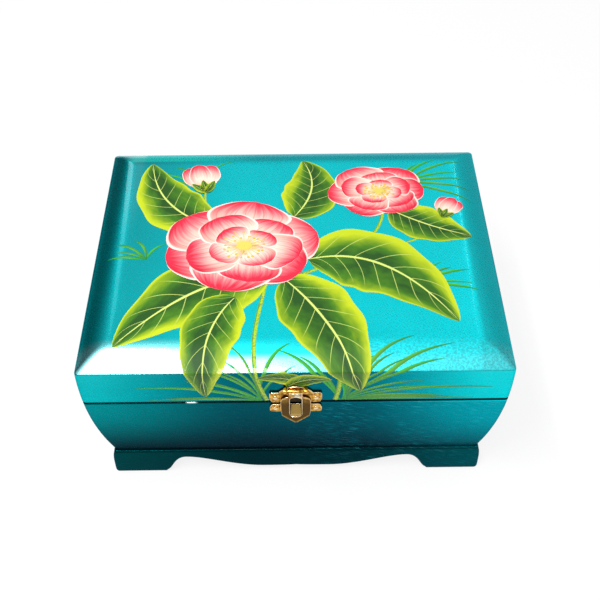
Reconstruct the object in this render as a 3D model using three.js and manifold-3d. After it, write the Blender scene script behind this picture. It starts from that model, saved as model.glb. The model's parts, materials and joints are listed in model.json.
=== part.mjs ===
// A lacquered wooden jewellery box: a bellied case on a scalloped plinth, a hinged lid with a
// rolled edge and a mirror inside, a stamped brass clasp, and a lift-out tray with ring rolls.
// Millimetres, +Z up, the clasp faces -Y, and the origin is on the ground under the box's centre.
import * as THREE from "three";
import { mergeVertices } from "three/addons/utils/BufferGeometryUtils.js";
import Module from "manifold-3d";

const wasm = await Module();
wasm.setup();

// Case: overall outline, taken at the widest line of the bellied sides
const boxWidth = 241;
const boxDepth = 191;
const bellyRadius = 300; // upright curve of the sides
const widestAboveSeam = 17.8; // the widest line lies on the lid's band
const cornerRadius = 2.5;
const boardStock = 15.5; // thickness of the boards before their outside is shaped
const bodyHeight = 59.2; // top of the plinth to the middle of the seam
const bandHeight = 25.5; // middle of the seam to the arris round the lid's top
const seamGap = 0.6;
const arris = 0.6; // eased edge along the seam and the lid's top
const clearance = 0.3; // between pieces that are fitted or glued together

// Lid top
const rollWidth = 20; // rolled edge, seen from above
const rollDrop = 7; // rolled edge, seen from the side
const topEdge = 2.9; // depth of the top board's own upright edge
const crownRise = 0.8; // of the flat top, at the middle
const rollSteps = 8;
const crownSteps = 4;
const sideSteps = 10;
const cornerSteps = 3;

// Plinth
const plinthHeight = 20;
const plinthInset = 7.7; // from the widest line to the plinth's face
const plinthStock = 14;
const plinthFootRound = 1.5;
const plinthHeadRound = 2; // on the ledge
const plinthHeadDrop = 4; // down the face
const footLength = 32.5; // along the ground, from the plinth's corner
const footRamp = 12.5; // from the foot's inner end to the top of the scallop
const scallopRise = 13.6;
const apronLow = 4.5;
const apronMiddle = 5;

// Bottom and lining boards
const bottomThickness = 5;
const padThickness = 2.4;
const liningThickness = 2.5;
const liningHeight = 19.4;
const lidLiningThickness = 2.2;

// Mirror
const mirrorWidth = 168;
const mirrorDepth = 120;
const mirrorThickness = 2.5;
const mirrorFrameWidth = 10;
const mirrorFrameLip = 1.6; // in front of the glass
const mirrorFrameHold = 3; // over the glass's edge

// Tray
const trayHeight = 26;
const trayWall = 4.5;
const trayFloor = 3;
const trayPlay = 0.6; // between the tray and the case
const dividerThickness = 3;
const dividerHeight = 19;
const ringBayWidth = 64;
const middleBayWidth = 64;
const rollCount = 5;
const rollGap = 1;
const rollHeight = 15;
const rollBacking = 3;
const tabWidth = 14;
const tabPly = 0.8;
const tabDrop = 14; // below the tray's rim
const tabRise = 4; // above the tray's rim

// Hinges
const hingeFromEnd = 52;
const hingeLength = 24;
const leafThickness = 1;
const leafWidth = 9.5;
const barrelRadius = 2.2;
const axisBehindWall = 1.7;
const pinRadius = 0.8;
const pinPlay = 0.2;
const knucklePlay = 0.3;
const heelReach = 4.5; // stop heel, from the axis to its tip
const heelThickness = 1;
const heelDip = 5; // degrees below level while the lid is shut
const screwHeadRadius = 1.9;
const screwShankRadius = 0.9;
const screwLength = 7;
const screwSpread = 15; // between a leaf's two screws
const screwFromAxis = 7;

// Clasp
const plateThickness = 0.8;
const claspWidth = 29.4;
const earRadius = 3.3; // from the plates' sides to their nails
const earCorner = 1.6;
const earWaist = 0.7; // how far the ears draw in towards the seam
const upperPlateTop = 14.8; // above the seam
const upperEarTop = 9.8; // above the seam
const upperPlateFoot = 1; // above the seam
const lowerPlateHead = 1; // below the seam
const lowerEarFoot = 8.2; // below the seam
const lowerPlateTip = 13.5; // below the seam
const archHalfWidth = 9.8; // of the crown between the ears
const earDrop = 4.8; // lower nails, below the seam
const earRise = 5.2; // upper nails, above the seam
const flapPivot = 13.2; // above the seam
const flapShoulder = 6.8; // above the seam
const flapHip = 9.8; // below the seam
const flapTip = 16.8; // below the seam
const flapHalfWidth = 8.5;
const flapThickness = 0.9;
const flapLean = 2; // degrees towards the case
const flapSwing = 150; // degrees, up to the upper plate
const flapKnuckle = 8.8;
const claspBarrelRadius = 1.4;
const claspPinRadius = 0.6;
const ridgeHalfWidth = 4;
const ridgeHeight = 3; // above the flap's front
const ridgeFoot = 10; // below the seam
const windowHalfWidth = 3.3;
const windowTop = 10.4; // above the seam
const windowFoot = 7.2; // below the seam
const nibHeight = 7.4;
const nibReach = 5.4; // from the case's face
const nibLedge = 2.4; // upright part of its front
const nibCrest = 1; // how far its top stands out from the lower plate
const nailHeadRadius = 1.5;
const nailShankRadius = 0.6;
const nailLength = 7;

// Levels and half sizes that follow from them
const seamLevel = plinthHeight + bodyHeight;
const widestLevel = seamLevel + widestAboveSeam;
const creaseLevel = seamLevel + bandHeight;
const bodyBottom = plinthHeight + clearance;
const bodyTop = seamLevel - seamGap / 2;
const lidBottom = seamLevel + seamGap / 2;
const topBoardBottom = creaseLevel - topEdge;
const innerHalfWidth = boxWidth / 2 - boardStock;
const innerHalfDepth = boxDepth / 2 - boardStock;
const bottomTop = bodyBottom + bottomThickness;
const padTop = bottomTop + clearance + padThickness;
const liningTop = padTop + clearance + liningHeight;
const trayBottom = liningTop + clearance;
const trayTop = trayBottom + trayHeight;
const trayHalfWidth = innerHalfWidth - trayPlay;
const trayHalfDepth = innerHalfDepth - trayPlay;
const trayFloorTop = trayBottom + trayFloor;

const inset = (z) =>
  bellyRadius - Math.sqrt(bellyRadius ** 2 - (z - widestLevel) ** 2);
const slopeAt = (z) => Math.asin((widestLevel - z) / bellyRadius);
const radians = THREE.MathUtils.degToRad;

const finishes = {
  lacquer: { color: 0x0ab4bd, roughness: 0.22, metalness: 0.55 },
  darkLacquer: { color: 0x0c0c0e, roughness: 0.3, metalness: 0 },
  velvet: { color: 0x6d0f22, roughness: 0.95, metalness: 0 },
  ribbon: { color: 0x8c1b2e, roughness: 0.7, metalness: 0 },
  brass: { color: 0xd9a441, roughness: 0.22, metalness: 1 },
  glass: { color: 0xc9d6d8, roughness: 0.04, metalness: 1 },
};

// Solids and geometries

function solidOf(geometry) {
  const bare = geometry.index ? geometry.toNonIndexed() : geometry.clone();
  bare.deleteAttribute("normal");
  bare.deleteAttribute("uv");
  const merged = mergeVertices(bare, 1e-4);
  return new wasm.Manifold(
    new wasm.Mesh({
      numProp: 3,
      vertProperties: merged.attributes.position.array,
      triVerts: new Uint32Array(merged.index.array),
    }),
  );
}

function geometryOf(solid) {
  const { vertProperties, triVerts } = solid.getMesh();
  const indexed = new THREE.BufferGeometry();
  indexed.setAttribute("position", new THREE.BufferAttribute(vertProperties, 3));
  indexed.setIndex(new THREE.BufferAttribute(triVerts, 1));
  const geometry = indexed.toNonIndexed();
  geometry.computeVertexNormals();
  return geometry;
}

function cut(solid, ...cutters) {
  return cutters.reduce((left, cutter) => left.subtract(cutter), solid);
}

function block([x0, x1], [y0, y1], [z0, z1]) {
  const geometry = new THREE.BoxGeometry(x1 - x0, y1 - y0, z1 - z0);
  return geometry.translate((x0 + x1) / 2, (y0 + y1) / 2, (z0 + z1) / 2);
}

const around = (middle, size) => [middle - size / 2, middle + size / 2];

function rodAlongX(radius, [x0, x1], y, z, sides = 16) {
  const rod = new THREE.CylinderGeometry(radius, radius, x1 - x0, sides);
  return rod.rotateZ(Math.PI / 2).translate((x0 + x1) / 2, y, z);
}

// Extrudes an outline drawn in x and z from y0 to y1.
function slabAlongY(shape, [y0, y1], curveSegments = 6) {
  const settings = { depth: y1 - y0, bevelEnabled: false, curveSegments };
  const slab = new THREE.ExtrudeGeometry(shape, settings);
  return slab.rotateX(Math.PI / 2).translate(0, y1, 0);
}

// Extrudes an outline drawn in y and z from x0 to x1.
function slabAlongX(shape, [x0, x1]) {
  const slab = new THREE.ExtrudeGeometry(shape, { depth: x1 - x0, bevelEnabled: false });
  return slab.rotateX(Math.PI / 2).rotateZ(Math.PI / 2).translate(x0, 0, 0);
}

// A round-cornered rectangle at one level, as a ring of points.
function outline(halfWidth, halfDepth, radius, z) {
  const corners = [
    [1, 1, 0],
    [-1, 1, 1],
    [-1, -1, 2],
    [1, -1, 3],
  ];
  return corners.flatMap(([sx, sy, quarter]) =>
    Array.from({ length: cornerSteps + 1 }, (_, i) => {
      const angle = ((quarter + i / cornerSteps) * Math.PI) / 2;
      return [
        sx * (halfWidth - radius) + radius * Math.cos(angle),
        sy * (halfDepth - radius) + radius * Math.sin(angle),
        z,
      ];
    }),
  );
}

// Skins a stack of outlines, lowest first, and closes both ends.
function loft(outlines) {
  const count = outlines[0].length;
  const faces = [];
  outlines.slice(1).forEach((_, level) => {
    for (let i = 0; i < count; i++) {
      const a = level * count + i;
      const b = level * count + ((i + 1) % count);
      faces.push(a, b, b + count, a, b + count, a + count);
    }
  });
  const last = (outlines.length - 1) * count;
  for (let i = 1; i < count - 1; i++) {
    faces.push(0, i + 1, i);
    faces.push(last, last + i, last + i + 1);
  }
  const geometry = new THREE.BufferGeometry();
  const points = outlines.flat(2);
  geometry.setAttribute("position", new THREE.Float32BufferAttribute(points, 3));
  geometry.setIndex(faces);
  return geometry;
}

// The bellied outline between two levels, with its arrises eased where asked.
function bellied(low, high, easeLow, easeHigh) {
  const levels = [[low, easeLow ? arris : 0]];
  if (easeLow) levels.push([low + arris, 0]);
  const first = low + (easeLow ? arris : 0);
  const last = high - (easeHigh ? arris : 0);
  for (let i = 1; i < sideSteps; i++) {
    levels.push([first + ((last - first) * i) / sideSteps, 0]);
  }
  if (easeHigh) levels.push([last, 0]);
  levels.push([high, easeHigh ? arris : 0]);
  return loft(
    levels.map(([z, extra]) => {
      const d = inset(z) + extra;
      return outline(boxWidth / 2 - d, boxDepth / 2 - d, cornerRadius, z);
    }),
  );
}

// The four boards of a frame: a ring cut by wedges that leave a joint along each mitre.
function mitredBoards(ring, halfWidth, halfDepth, [low, high]) {
  const reach = 2 * boardStock;
  const slack = clearance / Math.SQRT2;
  const wedge = (half, away, place) => {
    const corners = [
      place(-half + slack, away),
      place(half - slack, away),
      place(half - slack + reach, away + reach),
      place(-half + slack - reach, away + reach),
    ];
    const shape = new THREE.Shape(corners);
    const settings = { depth: high - low + 2, bevelEnabled: false };
    const prism = new THREE.ExtrudeGeometry(shape, settings).translate(0, 0, low - 1);
    return ring.intersect(solidOf(prism));
  };
  return {
    front: wedge(halfWidth, halfDepth, (along, out) => new THREE.Vector2(along, -out)),
    back: wedge(halfWidth, halfDepth, (along, out) => new THREE.Vector2(along, out)),
    left: wedge(halfDepth, halfWidth, (along, out) => new THREE.Vector2(-out, along)),
    right: wedge(halfDepth, halfWidth, (along, out) => new THREE.Vector2(out, along)),
  };
}

function piece(name, geometry, finish) {
  const mesh = new THREE.Mesh(
    geometry.isBufferGeometry ? geometry : geometryOf(geometry),
    new THREE.MeshStandardMaterial(finishes[finish]),
  );
  mesh.name = name;
  return mesh;
}

// Places on the front of the case: a point on the bellied face and the face's lean there.
function onFront(z) {
  const group = new THREE.Group();
  group.position.set(0, -(boxDepth / 2 - inset(z)), z);
  group.rotation.x = slopeAt(z);
  group.updateMatrixWorld(true);
  return group;
}

const hingeAxis = {
  y: boxDepth / 2 - inset(seamLevel) + axisBehindWall,
  z: seamLevel,
};
const hingePlaces = { left: -1, right: 1 };
const hingeMiddle = (side) => hingePlaces[side] * (boxWidth / 2 - hingeFromEnd);
const screwOffsets = { outer: 1, inner: -1 };
const earPlaces = { left: -1, right: 1 };
const earMiddle = claspWidth / 2 - earRadius;
const upperMount = onFront(seamLevel + earRise);
const lowerMount = onFront(seamLevel - earDrop);

// A countersunk wood screw, head up, its head's face at z = 0.
function screwGeometry() {
  const cone = screwHeadRadius - screwShankRadius;
  const profile = [
    [0, -screwLength],
    [screwShankRadius * 0.3, -screwLength],
    [screwShankRadius, -screwLength + 1.5],
    [screwShankRadius, -cone],
    [screwHeadRadius, 0],
    [0, 0],
  ].map(([r, z]) => new THREE.Vector2(r, z));
  return new THREE.LatheGeometry(profile, 12).rotateX(Math.PI / 2);
}

function screwHole(extra) {
  const cone = screwHeadRadius - screwShankRadius;
  const profile = [
    [0, -screwLength - extra],
    [screwShankRadius + extra, -screwLength - extra],
    [screwShankRadius + extra, -cone - extra],
    [screwHeadRadius + extra, 0],
    [screwHeadRadius + extra, 1],
    [0, 1],
  ].map(([r, z]) => new THREE.Vector2(r, z));
  return new THREE.LatheGeometry(profile, 12).rotateX(Math.PI / 2);
}

// Where a leaf's screws go: the face of the leaf, its screws pointing away from the seam.
function screwPlace(side, which, onLid) {
  const holder = new THREE.Group();
  const x = hingeMiddle(side) + (screwOffsets[which] * screwSpread) / 2;
  const up = onLid ? 1 : -1;
  holder.position.set(x, hingeAxis.y - screwFromAxis, seamLevel + (up * seamGap) / 2);
  holder.rotation.x = onLid ? Math.PI : 0;
  holder.updateMatrixWorld(true);
  return holder;
}

const screwSides = Object.keys(hingePlaces).flatMap((side) =>
  Object.keys(screwOffsets).map((which) => [side, which]),
);

// What the hinges and their screws take out of the back board of the body or the lid.
function hingeRecesses(onLid) {
  const faceLevel = onLid ? lidBottom : bodyTop;
  const deep = leafThickness + clearance;
  const zRange = onLid ? [faceLevel - 1, faceLevel + deep] : [faceLevel - deep, faceLevel + 1];
  const mortises = Object.keys(hingePlaces).flatMap((side) => {
    const length = around(hingeMiddle(side), hingeLength + 2 * clearance);
    const front = hingeAxis.y - leafWidth - clearance;
    return [
      solidOf(block(length, [front, hingeAxis.y], zRange)),
      solidOf(rodAlongX(barrelRadius + 2 * clearance, length, hingeAxis.y, hingeAxis.z)),
    ];
  });
  const holes = screwSides.map(([side, which]) =>
    solidOf(screwHole(clearance).applyMatrix4(screwPlace(side, which, onLid).matrixWorld)),
  );
  return [...mortises, ...holes];
}

// A round-headed clasp nail: its head's underside at y = 0, pointing into the case along +y.
function nailGeometry() {
  const dome = Array.from({ length: 4 }, (_, i) => {
    const angle = (i / 4) * (Math.PI / 2);
    return [nailHeadRadius * Math.cos(angle), nailHeadRadius * 0.6 * Math.sin(angle)];
  });
  const profile = [[0, -nailLength], [nailShankRadius, -nailLength + 1.5], [nailShankRadius, 0]]
    .concat(dome, [[0, nailHeadRadius * 0.6]])
    .map(([r, y]) => new THREE.Vector2(r, y));
  return new THREE.LatheGeometry(profile, 12).rotateX(Math.PI);
}

const nailSeat = -(clearance + plateThickness + clearance);

function nailHole(side, mount, extraReach) {
  const hole = new THREE.CylinderGeometry(
    nailShankRadius + clearance,
    nailShankRadius + clearance,
    nailLength + extraReach,
    12,
  );
  hole.translate(earPlaces[side] * earMiddle, (nailLength + extraReach) / 2 + nailSeat, 0);
  return mount ? hole.applyMatrix4(mount.matrixWorld) : hole;
}

const nailHoles = (mount) =>
  Object.keys(earPlaces).map((side) => solidOf(nailHole(side, mount, clearance)));

// Case

function bodyBoards() {
  const zRange = [bodyBottom, bodyTop];
  const cavity = block(
    [-innerHalfWidth, innerHalfWidth],
    [-innerHalfDepth, innerHalfDepth],
    [bodyBottom - 1, bodyTop + 1],
  );
  const ring = cut(solidOf(bellied(...zRange, false, true)), solidOf(cavity));
  const boards = mitredBoards(ring, innerHalfWidth, innerHalfDepth, zRange);
  boards.back = cut(boards.back, ...hingeRecesses(false));
  boards.front = cut(boards.front, ...nailHoles(lowerMount));
  return boards;
}

function lidBoards() {
  const zRange = [lidBottom, topBoardBottom - clearance];
  const cavity = block(
    [-innerHalfWidth, innerHalfWidth],
    [-innerHalfDepth, innerHalfDepth],
    [lidBottom - 1, topBoardBottom + 1],
  );
  const ring = cut(solidOf(bellied(...zRange, true, false)), solidOf(cavity));
  const boards = mitredBoards(ring, innerHalfWidth, innerHalfDepth, zRange);
  boards.back = cut(boards.back, ...hingeRecesses(true));
  boards.front = cut(boards.front, ...nailHoles(upperMount));
  return boards;
}

// The roll is an arc that leaves the top level and meets the arris at its steepest. Inside it,
// the top rises slightly to the middle.
function topBoard() {
  const turn = 2 * Math.atan(rollDrop / rollWidth);
  const rollRadius = rollWidth / Math.sin(turn);
  const profile = [
    [inset(topBoardBottom), topBoardBottom],
    [inset(creaseLevel - arris), creaseLevel - arris],
  ];
  const rollStart = inset(creaseLevel) + arris / 2;
  for (let i = 0; i <= rollSteps; i++) {
    const angle = turn * (1 - i / rollSteps);
    const run = rollWidth - rollRadius * Math.sin(angle);
    const rise = rollDrop - rollRadius * (1 - Math.cos(angle));
    profile.push([rollStart + run, creaseLevel + rise]);
  }
  const crownStart = rollStart + rollWidth;
  const crownRun = boxDepth / 2 - 2 * cornerRadius - crownStart;
  for (let i = 1; i <= crownSteps; i++) {
    const share = i / crownSteps;
    const rise = crownRise * Math.sin((share * Math.PI) / 2) ** 2;
    profile.push([crownStart + crownRun * share, creaseLevel + rollDrop + rise]);
  }
  return loft(
    profile.map(([d, z]) => outline(boxWidth / 2 - d, boxDepth / 2 - d, cornerRadius, z)),
  );
}

// The opening between two feet, drawn from the ground up: steep at the feet, easing down
// into a long, low apron.
function scallop(halfSpan) {
  const shape = new THREE.Shape();
  const peak = halfSpan - footRamp;
  shape.moveTo(-halfSpan - 1, -2);
  shape.lineTo(halfSpan + 1, -2);
  shape.lineTo(halfSpan, 1);
  shape.bezierCurveTo(halfSpan - 4, 3, peak + 8, scallopRise, peak, scallopRise);
  shape.bezierCurveTo(peak - 14, scallopRise, peak * 0.55, apronLow, peak * 0.3, apronLow);
  shape.quadraticCurveTo(peak * 0.12, apronLow, 0, apronMiddle);
  shape.quadraticCurveTo(-peak * 0.12, apronLow, -peak * 0.3, apronLow);
  shape.bezierCurveTo(-peak * 0.55, apronLow, -peak + 14, scallopRise, -peak, scallopRise);
  shape.bezierCurveTo(-peak - 8, scallopRise, -halfSpan + 4, 3, -halfSpan, 1);
  return shape;
}

function plinthBoards() {
  const halfWidth = boxWidth / 2 - plinthInset;
  const halfDepth = boxDepth / 2 - plinthInset;
  const quarter = Array.from({ length: 4 }, (_, i) => (i / 3) * (Math.PI / 2));
  const foot = quarter.map((a) => [
    plinthFootRound * (1 - Math.sin(a)),
    plinthFootRound * (1 - Math.cos(a)),
  ]);
  const head = quarter.map((a) => [
    plinthHeadRound * (1 - Math.cos(a)),
    plinthHeight - plinthHeadDrop * (1 - Math.sin(a)),
  ]);
  const shell = loft(
    [...foot, ...head].map(([d, z]) => outline(halfWidth - d, halfDepth - d, cornerRadius, z)),
  );
  const innerWidth = halfWidth - plinthStock;
  const innerDepth = halfDepth - plinthStock;
  const cavity = block([-innerWidth, innerWidth], [-innerDepth, innerDepth], [-1, plinthHeight + 1]);
  const alongFront = slabAlongY(scallop(halfWidth - footLength), [-boxDepth, boxDepth]);
  const alongSide = slabAlongY(scallop(halfDepth - footLength), [-boxWidth, boxWidth]);
  const ring = cut(
    solidOf(shell),
    solidOf(cavity),
    solidOf(alongFront),
    solidOf(alongSide.rotateZ(Math.PI / 2)),
  );
  return mitredBoards(ring, innerWidth, innerDepth, [0, plinthHeight]);
}

function caseGroup() {
  const group = new THREE.Group();
  for (const [side, board] of Object.entries(plinthBoards())) {
    group.add(piece(`plinth_${side}`, board, "lacquer"));
  }
  for (const [side, board] of Object.entries(bodyBoards())) {
    group.add(piece(`body_${side}`, board, "lacquer"));
  }
  const halfWidth = innerHalfWidth - clearance;
  const halfDepth = innerHalfDepth - clearance;
  const panel = block([-halfWidth, halfWidth], [-halfDepth, halfDepth], [bodyBottom, bottomTop]);
  group.add(piece("bottom_panel", panel, "darkLacquer"));
  const padRange = [bottomTop + clearance, padTop];
  const pad = block([-halfWidth, halfWidth], [-halfDepth, halfDepth], padRange);
  group.add(piece("floor_pad", pad, "velvet"));
  return group;
}

// Velvet-covered boards round the case's inside: they end level, and the tray sits on them.
function liningGroup() {
  const group = new THREE.Group();
  const height = liningTop - padTop - clearance;
  const endLength = 2 * (innerHalfDepth - clearance);
  const sideLength = 2 * (innerHalfWidth - liningThickness - 2 * clearance);
  const layout = {
    left: [liningThickness, endLength, -1, 0],
    right: [liningThickness, endLength, 1, 0],
    front: [sideLength, liningThickness, 0, -1],
    back: [sideLength, liningThickness, 0, 1],
  };
  for (const [side, [sizeX, sizeY, alongX, alongY]] of Object.entries(layout)) {
    const board = piece(`lining_${side}`, new THREE.BoxGeometry(sizeX, sizeY, height), "velvet");
    board.position.set(
      alongX * (innerHalfWidth - clearance - liningThickness / 2),
      alongY * (innerHalfDepth - clearance - liningThickness / 2),
      padTop + clearance + height / 2,
    );
    group.add(board);
  }
  return group;
}

// Lid with its lining and mirror

function mirrorFrame(frontLevel, backLevel) {
  const halfWidth = mirrorWidth / 2 + mirrorFrameWidth - mirrorFrameHold;
  const halfDepth = mirrorDepth / 2 + mirrorFrameWidth - mirrorFrameHold;
  const soft = mirrorFrameLip * 0.6;
  const outer = loft([
    outline(halfWidth - soft, halfDepth - soft, cornerRadius, frontLevel),
    outline(halfWidth, halfDepth, cornerRadius, frontLevel + soft),
    outline(halfWidth, halfDepth, cornerRadius, backLevel),
  ]);
  const sight = block(
    around(0, mirrorWidth - 2 * mirrorFrameHold),
    around(0, mirrorDepth - 2 * mirrorFrameHold),
    [frontLevel - 1, backLevel + 1],
  );
  const rebate = block(
    around(0, mirrorWidth + 2 * clearance),
    around(0, mirrorDepth + 2 * clearance),
    [frontLevel + mirrorFrameLip, backLevel + 1],
  );
  return cut(solidOf(outer), solidOf(sight), solidOf(rebate));
}

function lidGroup() {
  const group = new THREE.Group();
  group.add(piece("lid_top", topBoard(), "lacquer"));
  for (const [side, board] of Object.entries(lidBoards())) {
    group.add(piece(`lid_${side}`, board, "lacquer"));
  }
  const liningBack = topBoardBottom - clearance;
  const liningFront = liningBack - lidLiningThickness;
  const lining = block(
    around(0, 2 * (innerHalfWidth - clearance)),
    around(0, 2 * (innerHalfDepth - clearance)),
    [liningFront, liningBack],
  );
  group.add(piece("lid_lining", lining, "velvet"));
  const glassBack = liningFront - clearance;
  const glassFront = glassBack - mirrorThickness;
  const glass = block(around(0, mirrorWidth), around(0, mirrorDepth), [glassFront, glassBack]);
  group.add(piece("mirror", glass, "glass"));
  const frameFront = glassFront - clearance - mirrorFrameLip;
  group.add(piece("mirror_frame", mirrorFrame(frameFront, glassBack), "velvet"));
  return group;
}

// Hinges: each leaf lies in the seam, let into its board, and ends in knuckles on one axis.

function knuckle(xRange) {
  const axis = [hingeAxis.y, hingeAxis.z];
  const barrel = solidOf(rodAlongX(barrelRadius, xRange, ...axis, 20));
  return cut(barrel, solidOf(rodAlongX(pinRadius + pinPlay, [xRange[0] - 1, xRange[1] + 1], ...axis)));
}

function hingeLeaf(side, onLid) {
  const middle = hingeMiddle(side);
  const third = hingeLength / 3;
  const spans = onLid
    ? [around(middle, third - 2 * knucklePlay)]
    : [
        [middle - hingeLength / 2, middle - third / 2],
        [middle + third / 2, middle + hingeLength / 2],
      ];
  const zRange = onLid
    ? [lidBottom, lidBottom + leafThickness]
    : [bodyTop - leafThickness, bodyTop];
  const front = hingeAxis.y - leafWidth;
  const plateBack = hingeAxis.y - barrelRadius - knucklePlay;
  let leaf = solidOf(block(around(middle, hingeLength), [front, plateBack], zRange));
  for (const span of spans) {
    const neck = solidOf(block(span, [plateBack - 1, hingeAxis.y - pinRadius - pinPlay], zRange));
    leaf = leaf.add(neck).add(knuckle(span));
  }
  if (onLid) leaf = leaf.add(stopHeel(spans[0]));
  const holes = Object.keys(screwOffsets).map((which) =>
    solidOf(screwHole(clearance / 2).applyMatrix4(screwPlace(side, which, onLid).matrixWorld)),
  );
  return cut(leaf, ...holes);
}

// Turns with the lid, and meets the back of the case when the lid stands open.
function stopHeel(xRange) {
  const start = barrelRadius - 0.5;
  const heel = block(xRange, [start, heelReach], around(0, heelThickness));
  return solidOf(heel.rotateX(-radians(heelDip)).translate(0, hingeAxis.y, hingeAxis.z));
}

function hingePin(side) {
  const overhang = 0.6;
  const length = hingeLength + 2 * overhang;
  return rodAlongX(pinRadius, around(hingeMiddle(side), length), hingeAxis.y, hingeAxis.z, 12);
}

function hingeGroup(onLid) {
  const group = new THREE.Group();
  const owner = onLid ? "lid" : "body";
  for (const side of Object.keys(hingePlaces)) {
    group.add(piece(`hinge_leaf_${owner}_${side}`, hingeLeaf(side, onLid), "brass"));
    if (!onLid) group.add(piece(`hinge_pin_${side}`, hingePin(side), "brass"));
  }
  for (const [side, which] of screwSides) {
    const place = screwPlace(side, which, onLid);
    place.add(piece(`hinge_screw_${owner}_${side}_${which}`, screwGeometry(), "brass"));
    group.add(place);
  }
  return group;
}

// Clasp, drawn in x and z about the seam as seen from the front

function upperPlateShape() {
  const half = claspWidth / 2;
  const foot = upperPlateFoot - earRise;
  const earTop = upperEarTop - earRise;
  const crown = upperPlateTop - earRise;
  const rise = crown - earTop;
  const radius = (archHalfWidth ** 2 + rise ** 2) / (2 * rise);
  const turn = Math.asin(archHalfWidth / radius);
  const shape = new THREE.Shape();
  shape.moveTo(-half + earWaist + earCorner, foot);
  shape.lineTo(half - earWaist - earCorner, foot);
  shape.quadraticCurveTo(half - earWaist, foot, half - earWaist, foot + earCorner);
  shape.quadraticCurveTo(half, foot + earCorner + 1, half, 0);
  shape.lineTo(half, earTop - earCorner);
  shape.quadraticCurveTo(half, earTop, half - earCorner, earTop);
  shape.absarc(0, crown - radius, radius, Math.PI / 2 - turn, Math.PI / 2 + turn, false);
  shape.lineTo(-half + earCorner, earTop);
  shape.quadraticCurveTo(-half, earTop, -half, earTop - earCorner);
  shape.lineTo(-half, 0);
  shape.quadraticCurveTo(-half, foot + earCorner + 1, -half + earWaist, foot + earCorner);
  shape.quadraticCurveTo(-half + earWaist, foot, -half + earWaist + earCorner, foot);
  return shape;
}

function lowerPlateShape() {
  const half = claspWidth / 2;
  const head = earDrop - lowerPlateHead;
  const earFoot = earDrop - lowerEarFoot;
  const tip = earDrop - lowerPlateTip;
  const shape = new THREE.Shape();
  shape.moveTo(-half + earWaist + earCorner, head);
  shape.quadraticCurveTo(-half + earWaist, head, -half + earWaist, head - earCorner);
  shape.quadraticCurveTo(-half, head - earCorner - 1, -half, 0);
  shape.lineTo(-half, earFoot + earCorner);
  shape.quadraticCurveTo(-half, earFoot, -half + earCorner, earFoot);
  shape.lineTo(-archHalfWidth, earFoot);
  shape.quadraticCurveTo(-half * 0.3, tip + 2.4, 0, tip);
  shape.quadraticCurveTo(half * 0.3, tip + 2.4, archHalfWidth, earFoot);
  shape.lineTo(half - earCorner, earFoot);
  shape.quadraticCurveTo(half, earFoot, half, earFoot + earCorner);
  shape.lineTo(half, 0);
  shape.quadraticCurveTo(half, head - earCorner - 1, half - earWaist, head - earCorner);
  shape.quadraticCurveTo(half - earWaist, head, half - earWaist - earCorner, head);
  return shape;
}

const plateRange = [-clearance - plateThickness, -clearance];

// The flap's axis, seen from the upper plate's place on the face
const pivotOut = -(clearance + plateThickness + clearance + claspBarrelRadius);
const pivotUp = flapPivot - earRise;
const claspSpan = flapKnuckle / 2 + knucklePlay;
const cheekWidth = 2;

function upperPlate() {
  const plate = solidOf(slabAlongY(upperPlateShape(), plateRange));
  const bore = rodAlongX(claspPinRadius + pinPlay, [-boxWidth, boxWidth], pivotOut, pivotUp, 12);
  const cheeks = [-1, 1].map((sign) => {
    const span = around(sign * (claspSpan + cheekWidth / 2), cheekWidth);
    const post = block(span, [pivotOut, plateRange[0] + 0.1], around(pivotUp, 2 * claspBarrelRadius));
    const barrel = rodAlongX(claspBarrelRadius, span, pivotOut, pivotUp);
    return solidOf(post).add(solidOf(barrel));
  });
  const joined = cheeks.reduce((left, cheek) => left.add(cheek), plate);
  return cut(joined, solidOf(bore), ...nailHoles(null));
}

// The nib stands out of the lower plate and fills the foot of the flap's window. Its upper
// face slopes, so that the flap rides down over it, and its top stands before the upper plate.
function lowerPlate() {
  const plate = solidOf(slabAlongY(lowerPlateShape(), plateRange));
  const [plateFront, plateBack] = plateRange;
  const foot = earDrop - windowFoot + clearance;
  const head = earDrop - lowerPlateHead;
  const profile = new THREE.Shape();
  profile.moveTo(plateBack, foot);
  profile.lineTo(-nibReach, foot);
  profile.lineTo(-nibReach, foot + nibLedge);
  profile.lineTo(plateFront - nibCrest, foot + nibHeight);
  profile.lineTo(plateFront - clearance, foot + nibHeight);
  profile.lineTo(plateFront - clearance, head);
  profile.lineTo(plateBack, head);
  const nib = slabAlongX(profile, around(0, 2 * (windowHalfWidth - clearance)));
  return cut(plate.add(solidOf(nib)), ...nailHoles(null));
}

function flapShape() {
  const neck = flapKnuckle / 2;
  const shoulder = flapShoulder - flapPivot;
  const hip = -flapHip - flapPivot;
  const tip = -flapTip - flapPivot;
  const side = flapHalfWidth;
  const shape = new THREE.Shape();
  shape.moveTo(-neck, 0);
  shape.lineTo(-neck, shoulder);
  shape.bezierCurveTo(-neck - 2.4, shoulder, -side, shoulder - 1.8, -side, shoulder - 4.6);
  shape.quadraticCurveTo(-side, hip + 1, -side + 0.8, hip);
  shape.lineTo(-1, tip + 0.8);
  shape.quadraticCurveTo(0, tip, 1, tip + 0.8);
  shape.lineTo(side - 0.8, hip);
  shape.quadraticCurveTo(side, hip + 1, side, shoulder - 4.6);
  shape.bezierCurveTo(side, shoulder - 1.8, neck + 2.4, shoulder, neck, shoulder);
  shape.lineTo(neck, 0);
  return shape;
}

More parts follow.
